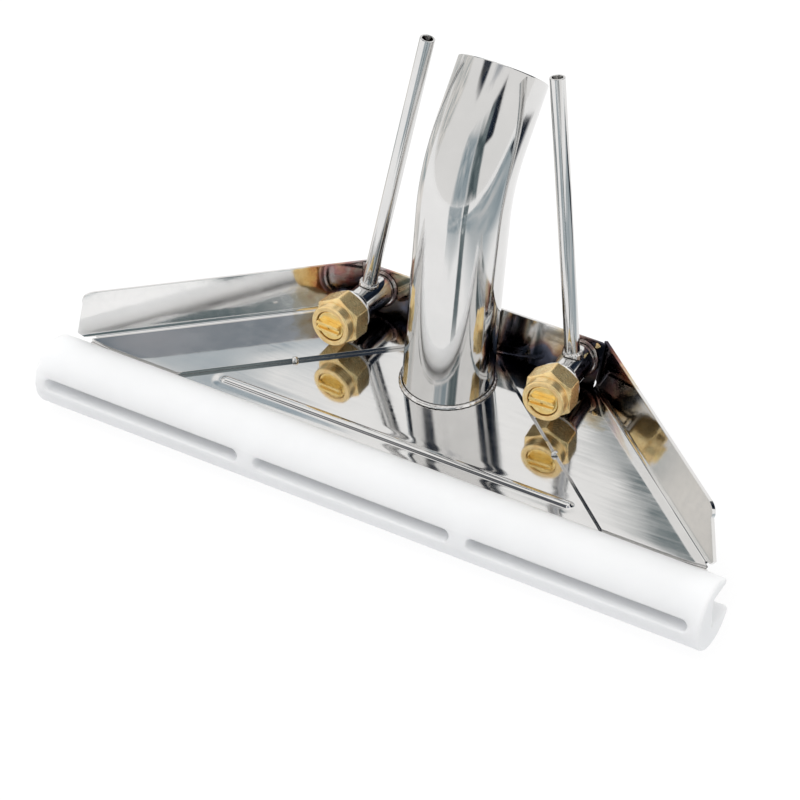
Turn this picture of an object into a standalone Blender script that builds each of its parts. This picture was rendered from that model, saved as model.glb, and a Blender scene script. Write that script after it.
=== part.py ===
"""Head of a hot-water extraction floor wand: slotted glide, steel vacuum head, bent tube, two spray jets.

Units are metres, +Z is up. X runs along the glide, -Y is the side the glide faces, and the head stands on
the glide and on the flat strip under the back of its pan. Every part is modelled in the head frame, whose
origin is the foot of the vacuum tube on the top plate, and hangs on one empty that carries that frame.
"""
import math

import bmesh
import bpy
from mathutils import Matrix, Vector

MM = 0.001
GAP = 0.3 * MM                      # clearance between neighbouring solids

# Glide
GLIDE_LENGTH = 305.8 * MM
GLIDE_RADIUS = 14.7 * MM
GLIDE_Y = -65.7 * MM
GLIDE_Z = -8.3 * MM
GLIDE_RIM = 1.5 * MM
GROOVE_BACK_Y = -67.2 * MM
GROOVE_LOW_Z = -13.3 * MM
SLOT_LOW_Z = -8.4 * MM
SLOT_HIGH_Z = -3.1 * MM
SLOT_SPANS = ((-147.8 * MM, -52.8 * MM), (-45.2 * MM, 45.2 * MM), (52.8 * MM, 147.8 * MM))

# Sheet metal of the head
SHEET = 1.5 * MM
LAP_GAP = 0.1 * MM                  # between the top plate and the flanges that lie on it
LAP_Z = LAP_GAP + SHEET             # upper face of those flanges
LAP_FRONT_Y = -53.4 * MM            # the flanges stop behind the glide
LIP_Y = GROOVE_BACK_Y + GAP         # front edge of the mouth, inside the glide
MOUTH_HALF = 142.5 * MM
MOUTH_LOW_Z = GROOVE_LOW_Z + GAP
SIDE_SLOPE = 1.155                  # the seams and folds run in at this much x per y
SEAM_X = 36.66 * MM                 # where the inner edge of a flange crosses y = 0
FOLD_X = 83.56 * MM                 # where the edge of the top plate crosses y = 0
PLATE_BACK_Y = 23.0 * MM
WALL_HEIGHT = 20.8 * MM
WALL_FLARE = 7.8 * MM              # how far a wall leans out along X at its top
FOLD_FRONT_Y = -50.4 * MM           # the fold stops here, and the wall runs on past it
WALL_KNEE_HEIGHT = 4.0 * MM
WALL_FRONTS = {                     # y of a wall's front edge at its foot, at its knee and at its top
    "left": (-53.1 * MM, -54.4 * MM, -50.0 * MM),
    "right": (-51.2 * MM, -51.7 * MM, -42.3 * MM),
}
WALL_WRAP_Y = 25.2 * MM             # the side walls run on past the back wall's ends
WALL_CORNER = 4.5 * MM
BACK_Y = 23.3 * MM
BACK_LEAN = 5.3 * MM
BACK_HALF_LOW = 53.6 * MM
BACK_HALF_HIGH = 55.8 * MM
PAN_FLAT_Y = 8.0 * MM
PAN_NECK_Y = -50.0 * MM
RIB_Y = -45.7 * MM
RIB_HALF = 82.0 * MM
RIB_WIDTH = 5.0 * MM
RIB_HEIGHT = 1.0 * MM
SPACER_PLACES = (-100 * MM, -49 * MM, 49 * MM, 100 * MM)
SPACER_Y = -60 * MM
SPACER_RADIUS = 2.5 * MM
DIVIDER_HALF_LENGTH = 19 * MM
DIVIDER_X = 42 * MM
DIVIDER_Y = -30 * MM
DIVIDER_TURN = math.radians(49.3)
TACK_Y = -21.2 * MM
CORNER_WELD_X = 54.5 * MM
CORNER_WELD_HEIGHT = 18.9 * MM
DEEP = 100 * MM                     # far below every floor

# Vacuum tube
TUBE_RADIUS = 19.05 * MM
TUBE_WALL = 1.5 * MM
TUBE_LEAN = math.radians(8.9)
TUBE_STRAIGHT = 77.0 * MM
TUBE_BEND_RADIUS = 57.15 * MM
TUBE_BEND = math.radians(33.1)
TUBE_TOP = 27.2 * MM
FOOT_WELD_RADIUS = 21.7 * MM
FOOT_WELD_HEIGHT = 2.6 * MM

# Spray jets: local +Z is the spray direction, z = 0 is the front of the nut's collar
JET_TIP = Vector((49.84 * MM, -11.43 * MM, 15.86 * MM))
JET_YAW = math.radians(3.4)
JET_PITCH = math.radians(6.0)
BOSS_RADIUS = 7.0 * MM
BOSS_BACK = -41.5 * MM
SHOULDER_RADIUS = 8.4 * MM
SHOULDER_BACK = -18.0 * MM
NOSE_RADIUS = 7.3 * MM
NOSE_FRONT = -9.3 * MM
STRAINER_BORE = 4.3 * MM
STRAINER_STEP = -15.8 * MM
VALVE_BORE = 3.3 * MM
CONE_FRONT = -26.1 * MM
SEAT_RADIUS = 2.0 * MM
SEAT_FRONT = -27.4 * MM
SEAT_BACK = -28.5 * MM
BORE_END = -36.0 * MM
INLET_RADIUS = 2.2 * MM
NUT_FLATS = 19.5 * MM
NUT_BACK = -14.2 * MM
NUT_CHAMFER = 1.1 * MM
NUT_SHOULDER = -7.2 * MM
THREAD_RADIUS = NOSE_RADIUS + 0.4 * MM
COLLAR_RADIUS = 9.1 * MM
COLLAR_BACK = -5.0 * MM
COLLAR_HOLE = 6.7 * MM
COLLAR_CHAMFER = 0.6 * MM
WASHER_BACK = -15.7 * MM
WASHER_RADIUS = 9.4 * MM
TIP_FACE = -0.6 * MM
TIP_RADIUS = 6.4 * MM
FLANGE_RADIUS = 7.0 * MM
FLANGE_FRONT = -7.5 * MM
FLANGE_BACK = -9.0 * MM
TIP_BORE = 2.6 * MM
TIP_BORE_END = -3.4 * MM
ORIFICE_RADIUS = 0.5 * MM
ORIFICE_BACK = -2.2 * MM
BAR_HALF_LENGTH = 5.4 * MM
BAR_HALF_WIDTH = 2.1 * MM
BAR_FOOT = -1.6 * MM
BAR_TOP = 2.2 * MM
SLOT_HALF_WIDTH = 0.5 * MM
SLOT_FLOOR = 0.9 * MM
STRAINER_RADIUS = 4.0 * MM
STRAINER_WALL = 0.5 * MM
STRAINER_FRONT = -9.3 * MM
STRAINER_BACK = -15.4 * MM
BALL_RADIUS = 2.75 * MM
BALL_Z = -25.09 * MM
COIL_RADIUS = 2.3 * MM
COIL_WIRE = 0.25 * MM
COIL_TURNS = 5

# Solution tubes
SOLUTION_RADIUS = 3.175 * MM
SOLUTION_WALL = 0.9 * MM
SOLUTION_FOOT = Vector((48.0 * MM, 17.8 * MM, 20.4 * MM))
SOLUTION_TOP = Vector((28.9 * MM, 34.0 * MM, 137.0 * MM))
INLET_REACH = 9.0 * MM              # the inlet is drilled this far on both sides of a solution tube's foot
SADDLE_WIDTH = 0.8 * MM
SADDLE_RISE = 1.1 * MM
SADDLE_DROP = 2.6 * MM

ROUND = 48                          # sides of a large round
SMALL_ROUND = 32                    # sides of a small round
COARSE_ROUND = 16                   # sides of a post or a bead

SIDES = (("left", -1), ("right", 1))


def tube_heading():
    """Angle from upright of the tube's open end."""
    return TUBE_LEAN + TUBE_BEND


def tube_path(bend_points=10):
    """Points on the tube's axis, from its foot to its open end."""
    foot = Vector((0, -math.sin(TUBE_LEAN), -math.cos(TUBE_LEAN))) * TUBE_RADIUS / 2
    rise = Vector((0, math.sin(TUBE_LEAN), math.cos(TUBE_LEAN))) * TUBE_STRAIGHT
    centre = rise + Vector((0, math.cos(TUBE_LEAN), -math.sin(TUBE_LEAN))) * TUBE_BEND_RADIUS
    points = [foot, rise * 0.5]
    for step in range(bend_points + 1):
        angle = TUBE_LEAN + TUBE_BEND * step / bend_points
        points.append(centre + Vector((0, -math.cos(angle), math.sin(angle))) * TUBE_BEND_RADIUS)
    heading = Vector((0, math.sin(tube_heading()), math.cos(tube_heading())))
    points.append(points[-1] + heading * TUBE_TOP)
    return points


TUBE_END = tube_path()[-1]
GLIDE_FRONT_Y = GLIDE_Y - GLIDE_RADIUS
TUBE_BACK_Y = TUBE_END.y + TUBE_RADIUS * math.cos(tube_heading())
HEAD_Y = -(GLIDE_FRONT_Y + TUBE_BACK_Y) / 2
HEAD_Z = GLIDE_RADIUS - GLIDE_Z
PAN_LOW_Z = -HEAD_Z
SHOULDER_Y = (FOLD_X - MOUTH_HALF) / SIDE_SLOPE
BACK_ANGLE = math.atan2(BACK_LEAN, WALL_HEIGHT)
BACK_FRAME = Matrix.Translation((0, BACK_Y, GAP)) @ Matrix.Rotation(math.pi / 2 - BACK_ANGLE, 4, "X")


# ---------------------------------------------------------------- helpers

def start_collections():
    """Empty the scene and make one collection for the parts and one for the cutters."""
    for obj in list(bpy.data.objects):
        bpy.data.objects.remove(obj, do_unlink=True)
    made = []
    for name in ("wand_head", "cutters"):
        collection = bpy.data.collections.new(name)
        bpy.context.scene.collection.children.link(collection)
        made.append(collection)
    return made


PARTS, CUTTERS = start_collections()


def empty(name, matrix, parent=None):
    """A frame that other objects hang on."""
    frame = bpy.data.objects.new(name, None)
    frame.empty_display_size = 10 * MM
    PARTS.objects.link(frame)
    frame.parent = parent
    frame.matrix_local = matrix
    return frame


HEAD = empty("head_frame", Matrix.Translation((0, HEAD_Y, HEAD_Z)))


def material(name, colour, roughness, metallic):
    """A Principled material."""
    made = bpy.data.materials.new(name)
    made.use_nodes = True
    shader = made.node_tree.nodes["Principled BSDF"]
    shader.inputs["Base Color"].default_value = (*colour, 1.0)
    shader.inputs["Roughness"].default_value = roughness
    shader.inputs["Metallic"].default_value = metallic
    return made


def steel(name):
    return material(name, (0.78, 0.77, 0.75), 0.06, 1.0)


def brass(name):
    return material(name, (0.83, 0.60, 0.26), 0.22, 1.0)


def white_plastic(name):
    return material(name, (0.93, 0.93, 0.94), 0.35, 0.0)


def add(name, mesh, finish, frame=HEAD, matrix=None):
    """Put a mesh in the scene as a named part on a frame."""
    obj = bpy.data.objects.new(name, mesh)
    PARTS.objects.link(obj)
    obj.parent = frame
    if matrix is not None:
        obj.matrix_local = matrix
    mesh.materials.append(finish(name))
    mesh.shade_smooth()
    mesh.set_sharp_from_angle(angle=math.radians(35))
    return obj


def cutter(name, mesh, frame=HEAD, matrix=None):
    """Put a mesh in the scene as a hidden tool for Booleans."""
    obj = bpy.data.objects.new(name, mesh)
    CUTTERS.objects.link(obj)
    obj.parent = frame
    if matrix is not None:
        obj.matrix_local = matrix
    obj.hide_render = True
    obj.display_type = "WIRE"
    return obj


def boolean(obj, tool, operation="DIFFERENCE"):
    change = obj.modifiers.new(tool.name, "BOOLEAN")
    change.operation = operation
    change.solver = "EXACT"
    change.object = tool


def evaluated_mesh(obj, name):
    """The mesh an object shows with its modifiers, or a curve with its caps welded."""
    graph = bpy.context.evaluated_depsgraph_get()
    mesh = bpy.data.meshes.new_from_object(obj.evaluated_get(graph))
    mesh.name = name
    shape = bmesh.new()
    shape.from_mesh(mesh)
    bmesh.ops.remove_doubles(shape, verts=shape.verts, dist=0.001 * MM)
    bmesh.ops.recalc_face_normals(shape, faces=shape.faces)
    shape.to_mesh(mesh)
    shape.free()
    bpy.data.objects.remove(obj, do_unlink=True)
    return mesh


def turned_mesh(name, profile, steps=SMALL_ROUND):
    """A profile of (radius, z) turned about Z, outer side first and downwards; a ring closes on itself."""
    on_axis = profile[0][0] == 0
    edges = [(index, index + 1) for index in range(len(profile) - 1)]
    if not on_axis:
        edges.append((len(profile) - 1, 0))
    mesh = bpy.data.meshes.new(name)
    mesh.from_pydata([(radius, 0, z) for radius, z in profile], edges, [])
    obj = bpy.data.objects.new(name, mesh)
    PARTS.objects.link(obj)
    turn = obj.modifiers.new("turn", "SCREW")
    turn.steps = steps
    turn.render_steps = steps
    turn.use_merge_vertices = True
    turn.merge_threshold = 0.001 * MM
    bpy.context.view_layer.update()
    return evaluated_mesh(obj, name)


def swept_mesh(name, points, radius, sides_level=4):
    """A round bar along points."""
    curve = bpy.data.curves.new(name, "CURVE")
    curve.dimensions = "3D"
    curve.bevel_depth = radius
    curve.bevel_resolution = sides_level
    curve.use_fill_caps = True
    spline = curve.splines.new("POLY")
    spline.points.add(len(points) - 1)
    for point, place in zip(spline.points, points):
        point.co = (*place, 1)
    obj = bpy.data.objects.new(name, curve)
    PARTS.objects.link(obj)
    bpy.context.view_layer.update()
    return evaluated_mesh(obj, name)


def prism_mesh(name, outline, low, high):
    """A flat outline in XY, filled from low to high."""
    mesh = bpy.data.meshes.new(name)
    shape = bmesh.new()
    face = shape.faces.new([shape.verts.new((x, y, low)) for x, y in outline])
    raised = bmesh.ops.extrude_face_region(shape, geom=[face])["geom"]
    bmesh.ops.translate(shape, vec=(0, 0, high - low),
                        verts=[part for part in raised if isinstance(part, bmesh.types.BMVert)])
    bmesh.ops.recalc_face_normals(shape, faces=shape.faces)
    shape.to_mesh(mesh)
    shape.free()
    return mesh


def box_mesh(name, low, high):
    """A box between two corners."""
    mesh = bpy.data.meshes.new(name)
    shape = bmesh.new()
    bmesh.ops.create_cube(shape, size=1.0)
    size = [top - bottom for bottom, top in zip(low, high)]
    bmesh.ops.scale(shape, vec=size, verts=shape.verts)
    bmesh.ops.translate(shape, vec=[(a + b) / 2 for a, b in zip(low, high)], verts=shape.verts)
    shape.to_mesh(mesh)
    shape.free()
    return mesh


def stadium(half_length, half_width, centre=(0, 0), arc_points=8):
    """Outline of a bar with round ends, along the first coordinate."""
    outline = []
    for end in (1, -1):
        for step in range(arc_points + 1):
            angle = math.pi * (step / arc_points - 0.5)
            outline.append((centre[0] + end * (half_length - half_width + half_width * math.cos(angle)),
                            centre[1] + end * half_width * math.sin(angle)))
    return outline


def bevel(obj, width, segments, angle=40):
    edge = obj.modifiers.new("rounded_edges", "BEVEL")
    edge.width = width
    edge.segments = segments
    edge.limit_method = "ANGLE"
    edge.angle_limit = math.radians(angle)
    return edge


def side_x(offset, y):
    """X of the seam or fold line that crosses y = 0 at offset."""
    return offset - SIDE_SLOPE * y


def inset(distance):
    """How far x moves when a seam or fold line moves in by distance, square to itself."""
    return distance * math.hypot(1, SIDE_SLOPE)


def pan_floor(y):
    """Height of the pan's outer bottom: level at the mouth, falling, then level at the back."""
    share = (y - PAN_NECK_Y) / (PAN_FLAT_Y - PAN_NECK_Y)
    return MOUTH_LOW_Z + (PAN_LOW_Z - MOUTH_LOW_Z) * min(max(share, 0), 1)


# ---------------------------------------------------------------- glide

def build_glide():
    """White slotted bar, grooved at the back for the mouth of the head."""
    mesh = bpy.data.meshes.new("glide")
    shape = bmesh.new()
    bmesh.ops.create_cone(shape, cap_ends=True, segments=64, radius1=GLIDE_RADIUS,
                          radius2=GLIDE_RADIUS, depth=GLIDE_LENGTH)
    shape.to_mesh(mesh)
    shape.free()
    along_x = Matrix.Translation((0, GLIDE_Y, GLIDE_Z)) @ Matrix.Rotation(math.pi / 2, 4, "Y")
    glide = add("glide", mesh, white_plastic, matrix=along_x)
    bevel(glide, GLIDE_RIM, 3)
    past = GLIDE_LENGTH / 2 + 5 * MM
    groove = box_mesh("groove", (-past, GROOVE_BACK_Y, GROOVE_LOW_Z), (past, GLIDE_Y + 20 * MM, GAP))
    boolean(glide, cutter("glide_groove", groove))
    half_height = (SLOT_HIGH_Z - SLOT_LOW_Z) / 2
    upright = Matrix.Rotation(math.pi / 2, 4, "X")
    for number, (low, high) in enumerate(SLOT_SPANS, 1):
        middle = ((low + high) / 2, (SLOT_LOW_Z + SLOT_HIGH_Z) / 2)
        outline = stadium((high - low) / 2, half_height, middle)
        slot = prism_mesh("slot", outline, -GROOVE_BACK_Y - 1 * MM, -GLIDE_FRONT_Y + 5 * MM)
        boolean(glide, cutter(f"glide_slot_{number}", slot, matrix=upright))


# ---------------------------------------------------------------- sheet-metal head

def pan_solid(name, margin, lift, front_y, back_y, top):
    """Block under the top plates, shrunk by margin at its sides and raised by lift at its floor."""
    fold = FOLD_X - inset(margin)
    mouth = MOUTH_HALF - margin
    shoulder_y = (fold - mouth) / SIDE_SLOPE
    outline = [(-mouth, front_y), (mouth, front_y), (mouth, shoulder_y), (side_x(fold, back_y), back_y),
               (-side_x(fold, back_y), back_y), (-mouth, shoulder_y)]
    mesh = prism_mesh(name, outline, -DEEP, top)
    shape = bmesh.new()
    shape.from_mesh(mesh)
    for y in (PAN_NECK_Y, PAN_FLAT_Y):
        everything = shape.verts[:] + shape.edges[:] + shape.faces[:]
        bmesh.ops.bisect_plane(shape, geom=everything, plane_co=(0, y, 0), plane_no=(0, 1, 0))
    for vert in shape.verts:
        if vert.co.z < -DEEP / 2:
            vert.co.z = pan_floor(vert.co.y) + lift
    shape.to_mesh(mesh)
    shape.free()
    return mesh


def build_pan():
    """Lower half of the vacuum chamber, open at the top and at the mouth."""
    top = -SHEET - GAP
    pan = add("chamber_pan", pan_solid("chamber_pan", 0, 0, LIP_Y, BACK_Y, top), steel)
    hollow = pan_solid("hollow", SHEET, SHEET, LIP_Y - 10 * MM, BACK_Y - SHEET, top + 10 * MM)
    boolean(pan, cutter("pan_hollow", hollow))


def build_top_plate():
    """Flat plate over the whole chamber, with the long rib and the hole for the tube."""
    outline = [(-MOUTH_HALF, LIP_Y), (MOUTH_HALF, LIP_Y), (MOUTH_HALF, SHOULDER_Y),
               (side_x(FOLD_X, PLATE_BACK_Y), PLATE_BACK_Y), (-side_x(FOLD_X, PLATE_BACK_Y), PLATE_BACK_Y),
               (-MOUTH_HALF, SHOULDER_Y)]
    plate = add("top_plate", prism_mesh("top_plate", outline, -SHEET, 0), steel)
    rib = prism_mesh("rib", stadium(RIB_HALF, RIB_WIDTH / 2, (0, RIB_Y)), -SHEET / 2, RIB_HEIGHT)
    boolean(plate, cutter("rib_bead", rib), "UNION")
    hole = swept_mesh("hole", [tube_path()[0] * 2, tube_path()[1]], TUBE_RADIUS + GAP, 10)
    boolean(plate, cutter("tube_hole", hole))


def on_wall(side, y, height):
    """A point on the inner face of a side wall."""
    return Vector((side * (side_x(FOLD_X, y) + WALL_FLARE * height / WALL_HEIGHT), y, height))


def wing_surface(name, label, side):
    """Upper face of a wing: the flange from seam to fold, and the flared wall with one round corner."""
    foot_y, knee_y, top_y = WALL_FRONTS[label]
    shape = bmesh.new()
    fold = [shape.verts.new(on_wall(side, y, LAP_Z)) for y in (FOLD_FRONT_Y, PLATE_BACK_Y)]
    flange = [(side * side_x(SEAM_X, PLATE_BACK_Y), PLATE_BACK_Y, LAP_Z),
              (side * side_x(SEAM_X, LAP_FRONT_Y), LAP_FRONT_Y, LAP_Z),
              (side * MOUTH_HALF, LAP_FRONT_Y, LAP_Z),
              (side * MOUTH_HALF, SHOULDER_Y, LAP_Z)]
    flange = [shape.verts.new(point) for point in flange] + fold
    wall = [on_wall(side, WALL_WRAP_Y, LAP_Z), on_wall(side, WALL_WRAP_Y + BACK_LEAN, WALL_HEIGHT)]
    corner_steps = 4
    for step in range(corner_steps + 1):
        turn = math.pi / 2 * step / corner_steps
        wall.append(on_wall(side, top_y + WALL_CORNER * (1 - math.sin(turn)),
                            WALL_HEIGHT - WALL_CORNER * (1 - math.cos(turn))))
    wall += [on_wall(side, knee_y, WALL_KNEE_HEIGHT), on_wall(side, foot_y, LAP_Z)]
    wall = [shape.verts.new(point) for point in wall]
    shape.faces.new(flange[::side])
    shape.faces.new((fold + wall)[::-side])
    mesh = bpy.data.meshes.new(name)
    shape.to_mesh(mesh)
    shape.free()
    return mesh


def build_wing(label, side):
    """Flange that laps the top plate, with its folded-up side wall."""
    name = f"{label}_wing_plate"
    wing = add(name, wing_surface(name, label, side), steel)
    thicken = wing.modifiers.new("sheet", "SOLIDIFY")
    thicken.thickness = SHEET
    thicken.offset = -1
    thicken.solidify_mode = "NON_MANIFOLD"
    thicken.nonmanifold_thickness_mode = "CONSTRAINTS"
    reach = BACK_HALF_LOW + 2 * GAP
    notch = box_mesh("notch", (-reach, PLATE_BACK_Y, -SHEET), (reach, PLATE_BACK_Y + 2 * SHEET, LAP_Z + GAP))
    boolean(wing, cutter(f"{label}_wing_notch", notch))


def build_back_wall():
    """Leaning wall across the back, with the two holes that the jet bodies pass through."""
    outline = [(-BACK_HALF_LOW, 0), (BACK_HALF_LOW, 0), (BACK_HALF_HIGH, 1), (-BACK_HALF_HIGH, 1)]
    length = (WALL_HEIGHT - GAP) / math.cos(BACK_ANGLE)
    outline = [(x, share * length) for x, share in outline]
    wall = add("back_wall", prism_mesh("back_wall", outline, -SHEET, 0), steel, matrix=BACK_FRAME)
    for label, side in SIDES:
        hole = turned_mesh("hole", [(0, 0), (BOSS_RADIUS + GAP, 0), (BOSS_RADIUS + GAP, BOSS_BACK * 1.3),
                                    (0, BOSS_BACK * 1.3)])
        boolean(wall, cutter(f"{label}_jet_hole", hole, JET[label]))


def build_mouth_spacers():
    """Posts that keep the two lips of the mouth apart."""
    low, high = MOUTH_LOW_Z + SHEET + GAP, -SHEET - GAP
    for number, x in enumerate(SPACER_PLACES, 1):
        post = turned_mesh("post", [(0, high), (SPACER_RADIUS, high), (SPACER_RADIUS, low), (0, low)],
                           COARSE_ROUND)
        add(f"mouth_spacer_{number}", post, steel, matrix=Matrix.Translation((x, SPACER_Y, 0)))


def build_flow_dividers():
    """Upright vanes in the chamber that share the suction between the slots."""
    for label, side in SIDES:
        vane = prism_mesh("vane", stadium(DIVIDER_HALF_LENGTH, SHEET / 2), -DEEP, -SHEET - GAP)
        turn = Matrix.Rotation(-side * DIVIDER_TURN, 4, "Z")
        place = Matrix.Translation((side * DIVIDER_X, DIVIDER_Y, 0)) @ turn
        for vert in vane.vertices:
            if vert.co.z < -DEEP / 2:
                vert.co.z = pan_floor((place @ vert.co).y) + SHEET + GAP
        add(f"{label}_flow_divider", vane, steel, matrix=place)


def build_seam_tack(label, side):
    """Tack bead on the step between the top plate and a flange."""
    profile = [(0, 2.3 * MM), (0.9 * MM, 2.1 * MM), (1.5 * MM, 1.6 * MM), (1.9 * MM, 0.7 * MM),
               (1.9 * MM, 0), (0, 0)]
    place = Matrix.Translation((side * side_x(SEAM_X, TACK_Y), TACK_Y, GAP))
    tack = add(f"{label}_seam_tack", turned_mesh("tack", profile, COARSE_ROUND), steel, matrix=place)
    edge, reach = SEAM_X - inset(GAP), 10 * MM
    near, far = TACK_Y - reach, TACK_Y + reach
    outline = [(side * side_x(edge, near), near), (side * (side_x(edge, near) + reach), near),
               (side * (side_x(edge, far) + reach), far), (side * side_x(edge, far), far)]
    flange = prism_mesh("flange", outline, -SHEET, LAP_Z + GAP)
    boolean(tack, cutter(f"{label}_tack_step", flange))


def build_corner_weld(label, side):
    """Bead in the corner between the back wall and a side wall."""
    profile = [(0, 1.2 * MM), (0.6 * MM, 1.1 * MM), (1.0 * MM, 0.8 * MM), (1.2 * MM, GAP), (0, GAP)]
    length = CORNER_WELD_HEIGHT / math.cos(BACK_ANGLE)
    place = BACK_FRAME @ Matrix.Translation((side * CORNER_WELD_X, length, 0))
    add(f"{label}_corner_weld", turned_mesh("bead", profile, COARSE_ROUND), steel, matrix=place)


# ---------------------------------------------------------------- vacuum tube

def build_vacuum_tube():
    """Thin-walled tube: leaning stretch, bend, short straight end."""
    path = tube_path()
    tube = add("vacuum_tube", swept_mesh("vacuum_tube", path, TUBE_RADIUS, 10), steel)
    inner = [path[0] + (path[0] - path[1]) * 0.2] + path[1:-1] + [path[-1] + (path[-1] - path[-2]) * 0.2]
    boolean(tube, cutter("tube_bore", swept_mesh("bore", inner, TUBE_RADIUS - TUBE_WALL, 10)))
    trim = box_mesh("trim", [-2 * TUBE_RADIUS] * 3, (2 * TUBE_RADIUS, 2 * TUBE_RADIUS, -SHEET))
    boolean(tube, cutter("tube_foot_trim", trim))
    inside = TUBE_RADIUS - 1 * MM
    ring = turned_mesh("ring", [(TUBE_RADIUS + 0.8 * MM, FOOT_WELD_HEIGHT), (FOOT_WELD_RADIUS, GAP),
                                (inside, GAP), (inside, FOOT_WELD_HEIGHT)], ROUND)
    ring = add("tube_foot_weld", ring, steel)
    clear = swept_mesh("clear", [path[0] * 2, path[1]], TUBE_RADIUS + GAP, 10)
    boolean(ring, cutter("foot_weld_bore", clear))


# ---------------------------------------------------------------- spray jets

def jet_frames():
    """One frame for each jet, its +Z along the spray."""
    frames = {}
    for label, side in SIDES:
        forward = Vector((side * math.sin(JET_YAW) * math.cos(JET_PITCH),
                          -math.cos(JET_YAW) * math.cos(JET_PITCH), math.sin(JET_PITCH)))
        level = Vector((0, 0, 1)).cross(forward).normalized()
        turn = Matrix((level, forward.cross(level), forward)).transposed().to_4x4()
        place = Matrix.Translation((side * JET_TIP.x, JET_TIP.y, JET_TIP.z))
        frames[label] = empty(f"{label}_jet_frame", place @ turn, HEAD)
    return frames


JET = jet_frames()


def build_jet_body(label, side):
    """Steel boss welded through the back wall, bored for the strainer, the check valve and the inlet."""
    shoulder = WASHER_BACK - GAP
    profile = [(0, BORE_END), (VALVE_BORE, BORE_END), (VALVE_BORE, SEAT_BACK), (SEAT_RADIUS, SEAT_BACK),
               (SEAT_RADIUS, SEAT_FRONT), (VALVE_BORE, CONE_FRONT), (VALVE_BORE, STRAINER_STEP),
               (STRAINER_BORE, STRAINER_STEP), (STRAINER_BORE, NOSE_FRONT), (NOSE_RADIUS, NOSE_FRONT),
               (NOSE_RADIUS, shoulder), (SHOULDER_RADIUS, shoulder), (SHOULDER_RADIUS, SHOULDER_BACK),
               (BOSS_RADIUS, SHOULDER_BACK), (BOSS_RADIUS, BOSS_BACK), (0, BOSS_BACK)]
    body = add(f"{label}_jet_body", turned_mesh("body", profile), steel, JET[label])
    foot, top = solution_axis(side)
    along = (top - foot).normalized() * INLET_REACH
    drill = swept_mesh("drill", [foot - along, foot + along], INLET_RADIUS, 3)
    boolean(body, cutter(f"{label}_inlet_drill", drill))


def build_boss_weld(label):
    """Weld bead on the back wall, round the boss that goes through it."""
    to_wall = BACK_FRAME.inverted() @ JET[label].matrix_local
    heading = to_wall.to_3x3() @ Vector((0, 0, 1))
    crossing = to_wall.translation - heading * to_wall.translation.z / heading.z
    inner = BOSS_RADIUS + 0.5 * MM
    ring = turned_mesh("ring", [(inner, 1.1 * MM), (inner + 0.4 * MM, 1.0 * MM), (inner + 0.9 * MM, GAP),
                                (inner, GAP)])
    place = BACK_FRAME @ Matrix.Translation((crossing.x, crossing.y, 0))
    add(f"{label}_boss_weld", ring, steel, matrix=place)


def build_washer(label):
    """White sealing washer between the nut and the shoulder of the body."""
    inner, front = NOSE_RADIUS + GAP, NUT_BACK - GAP
    ring = [(inner, front), (WASHER_RADIUS, front), (WASHER_RADIUS, WASHER_BACK), (inner, WASHER_BACK)]
    add(f"{label}_washer", turned_mesh("washer", ring), white_plastic, JET[label])


def build_nut(label):
    """Brass nut: hexagon with chamfered ends, round collar, stepped bore."""
    across_corners = NUT_FLATS / math.cos(math.pi / 6)
    past = 1 * MM
    shape = bmesh.new()
    bmesh.ops.create_cone(shape, cap_ends=True, segments=6, radius1=across_corners / 2,
                          radius2=across_corners / 2, depth=COLLAR_BACK - NUT_BACK)
    bmesh.ops.translate(shape, vec=(0, 0, (COLLAR_BACK + NUT_BACK) / 2), verts=shape.verts)
    mesh = bpy.data.meshes.new("nut")
    shape.to_mesh(mesh)
    shape.free()
    nut = add(f"{label}_nut", mesh, brass, JET[label])
    corner, flat = across_corners / 2 + 0.2 * MM, NUT_FLATS / 2 - 0.2 * MM
    rounding = turned_mesh("rounding", [(0, COLLAR_BACK + past), (flat - past, COLLAR_BACK + past),
                                        (flat, COLLAR_BACK), (corner, COLLAR_BACK - NUT_CHAMFER),
                                        (corner, NUT_BACK + NUT_CHAMFER), (flat, NUT_BACK),
                                        (flat - past, NUT_BACK - past), (0, NUT_BACK - past)])
    boolean(nut, cutter(f"{label}_nut_rounding", rounding, JET[label]), "INTERSECT")
    collar = turned_mesh("collar", [(0, 0), (COLLAR_RADIUS - COLLAR_CHAMFER, 0),
                                    (COLLAR_RADIUS, -COLLAR_CHAMFER), (COLLAR_RADIUS, COLLAR_BACK - past),
                                    (0, COLLAR_BACK - past)])
    boolean(nut, cutter(f"{label}_nut_collar", collar, JET[label]), "UNION")
    bore = turned_mesh("bore", [(0, past), (COLLAR_HOLE, past), (COLLAR_HOLE, NUT_SHOULDER),
                                (THREAD_RADIUS, NUT_SHOULDER), (THREAD_RADIUS, NUT_BACK - past),
                                (0, NUT_BACK - past)])
    boolean(nut, cutter(f"{label}_nut_bore", bore, JET[label]))


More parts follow.
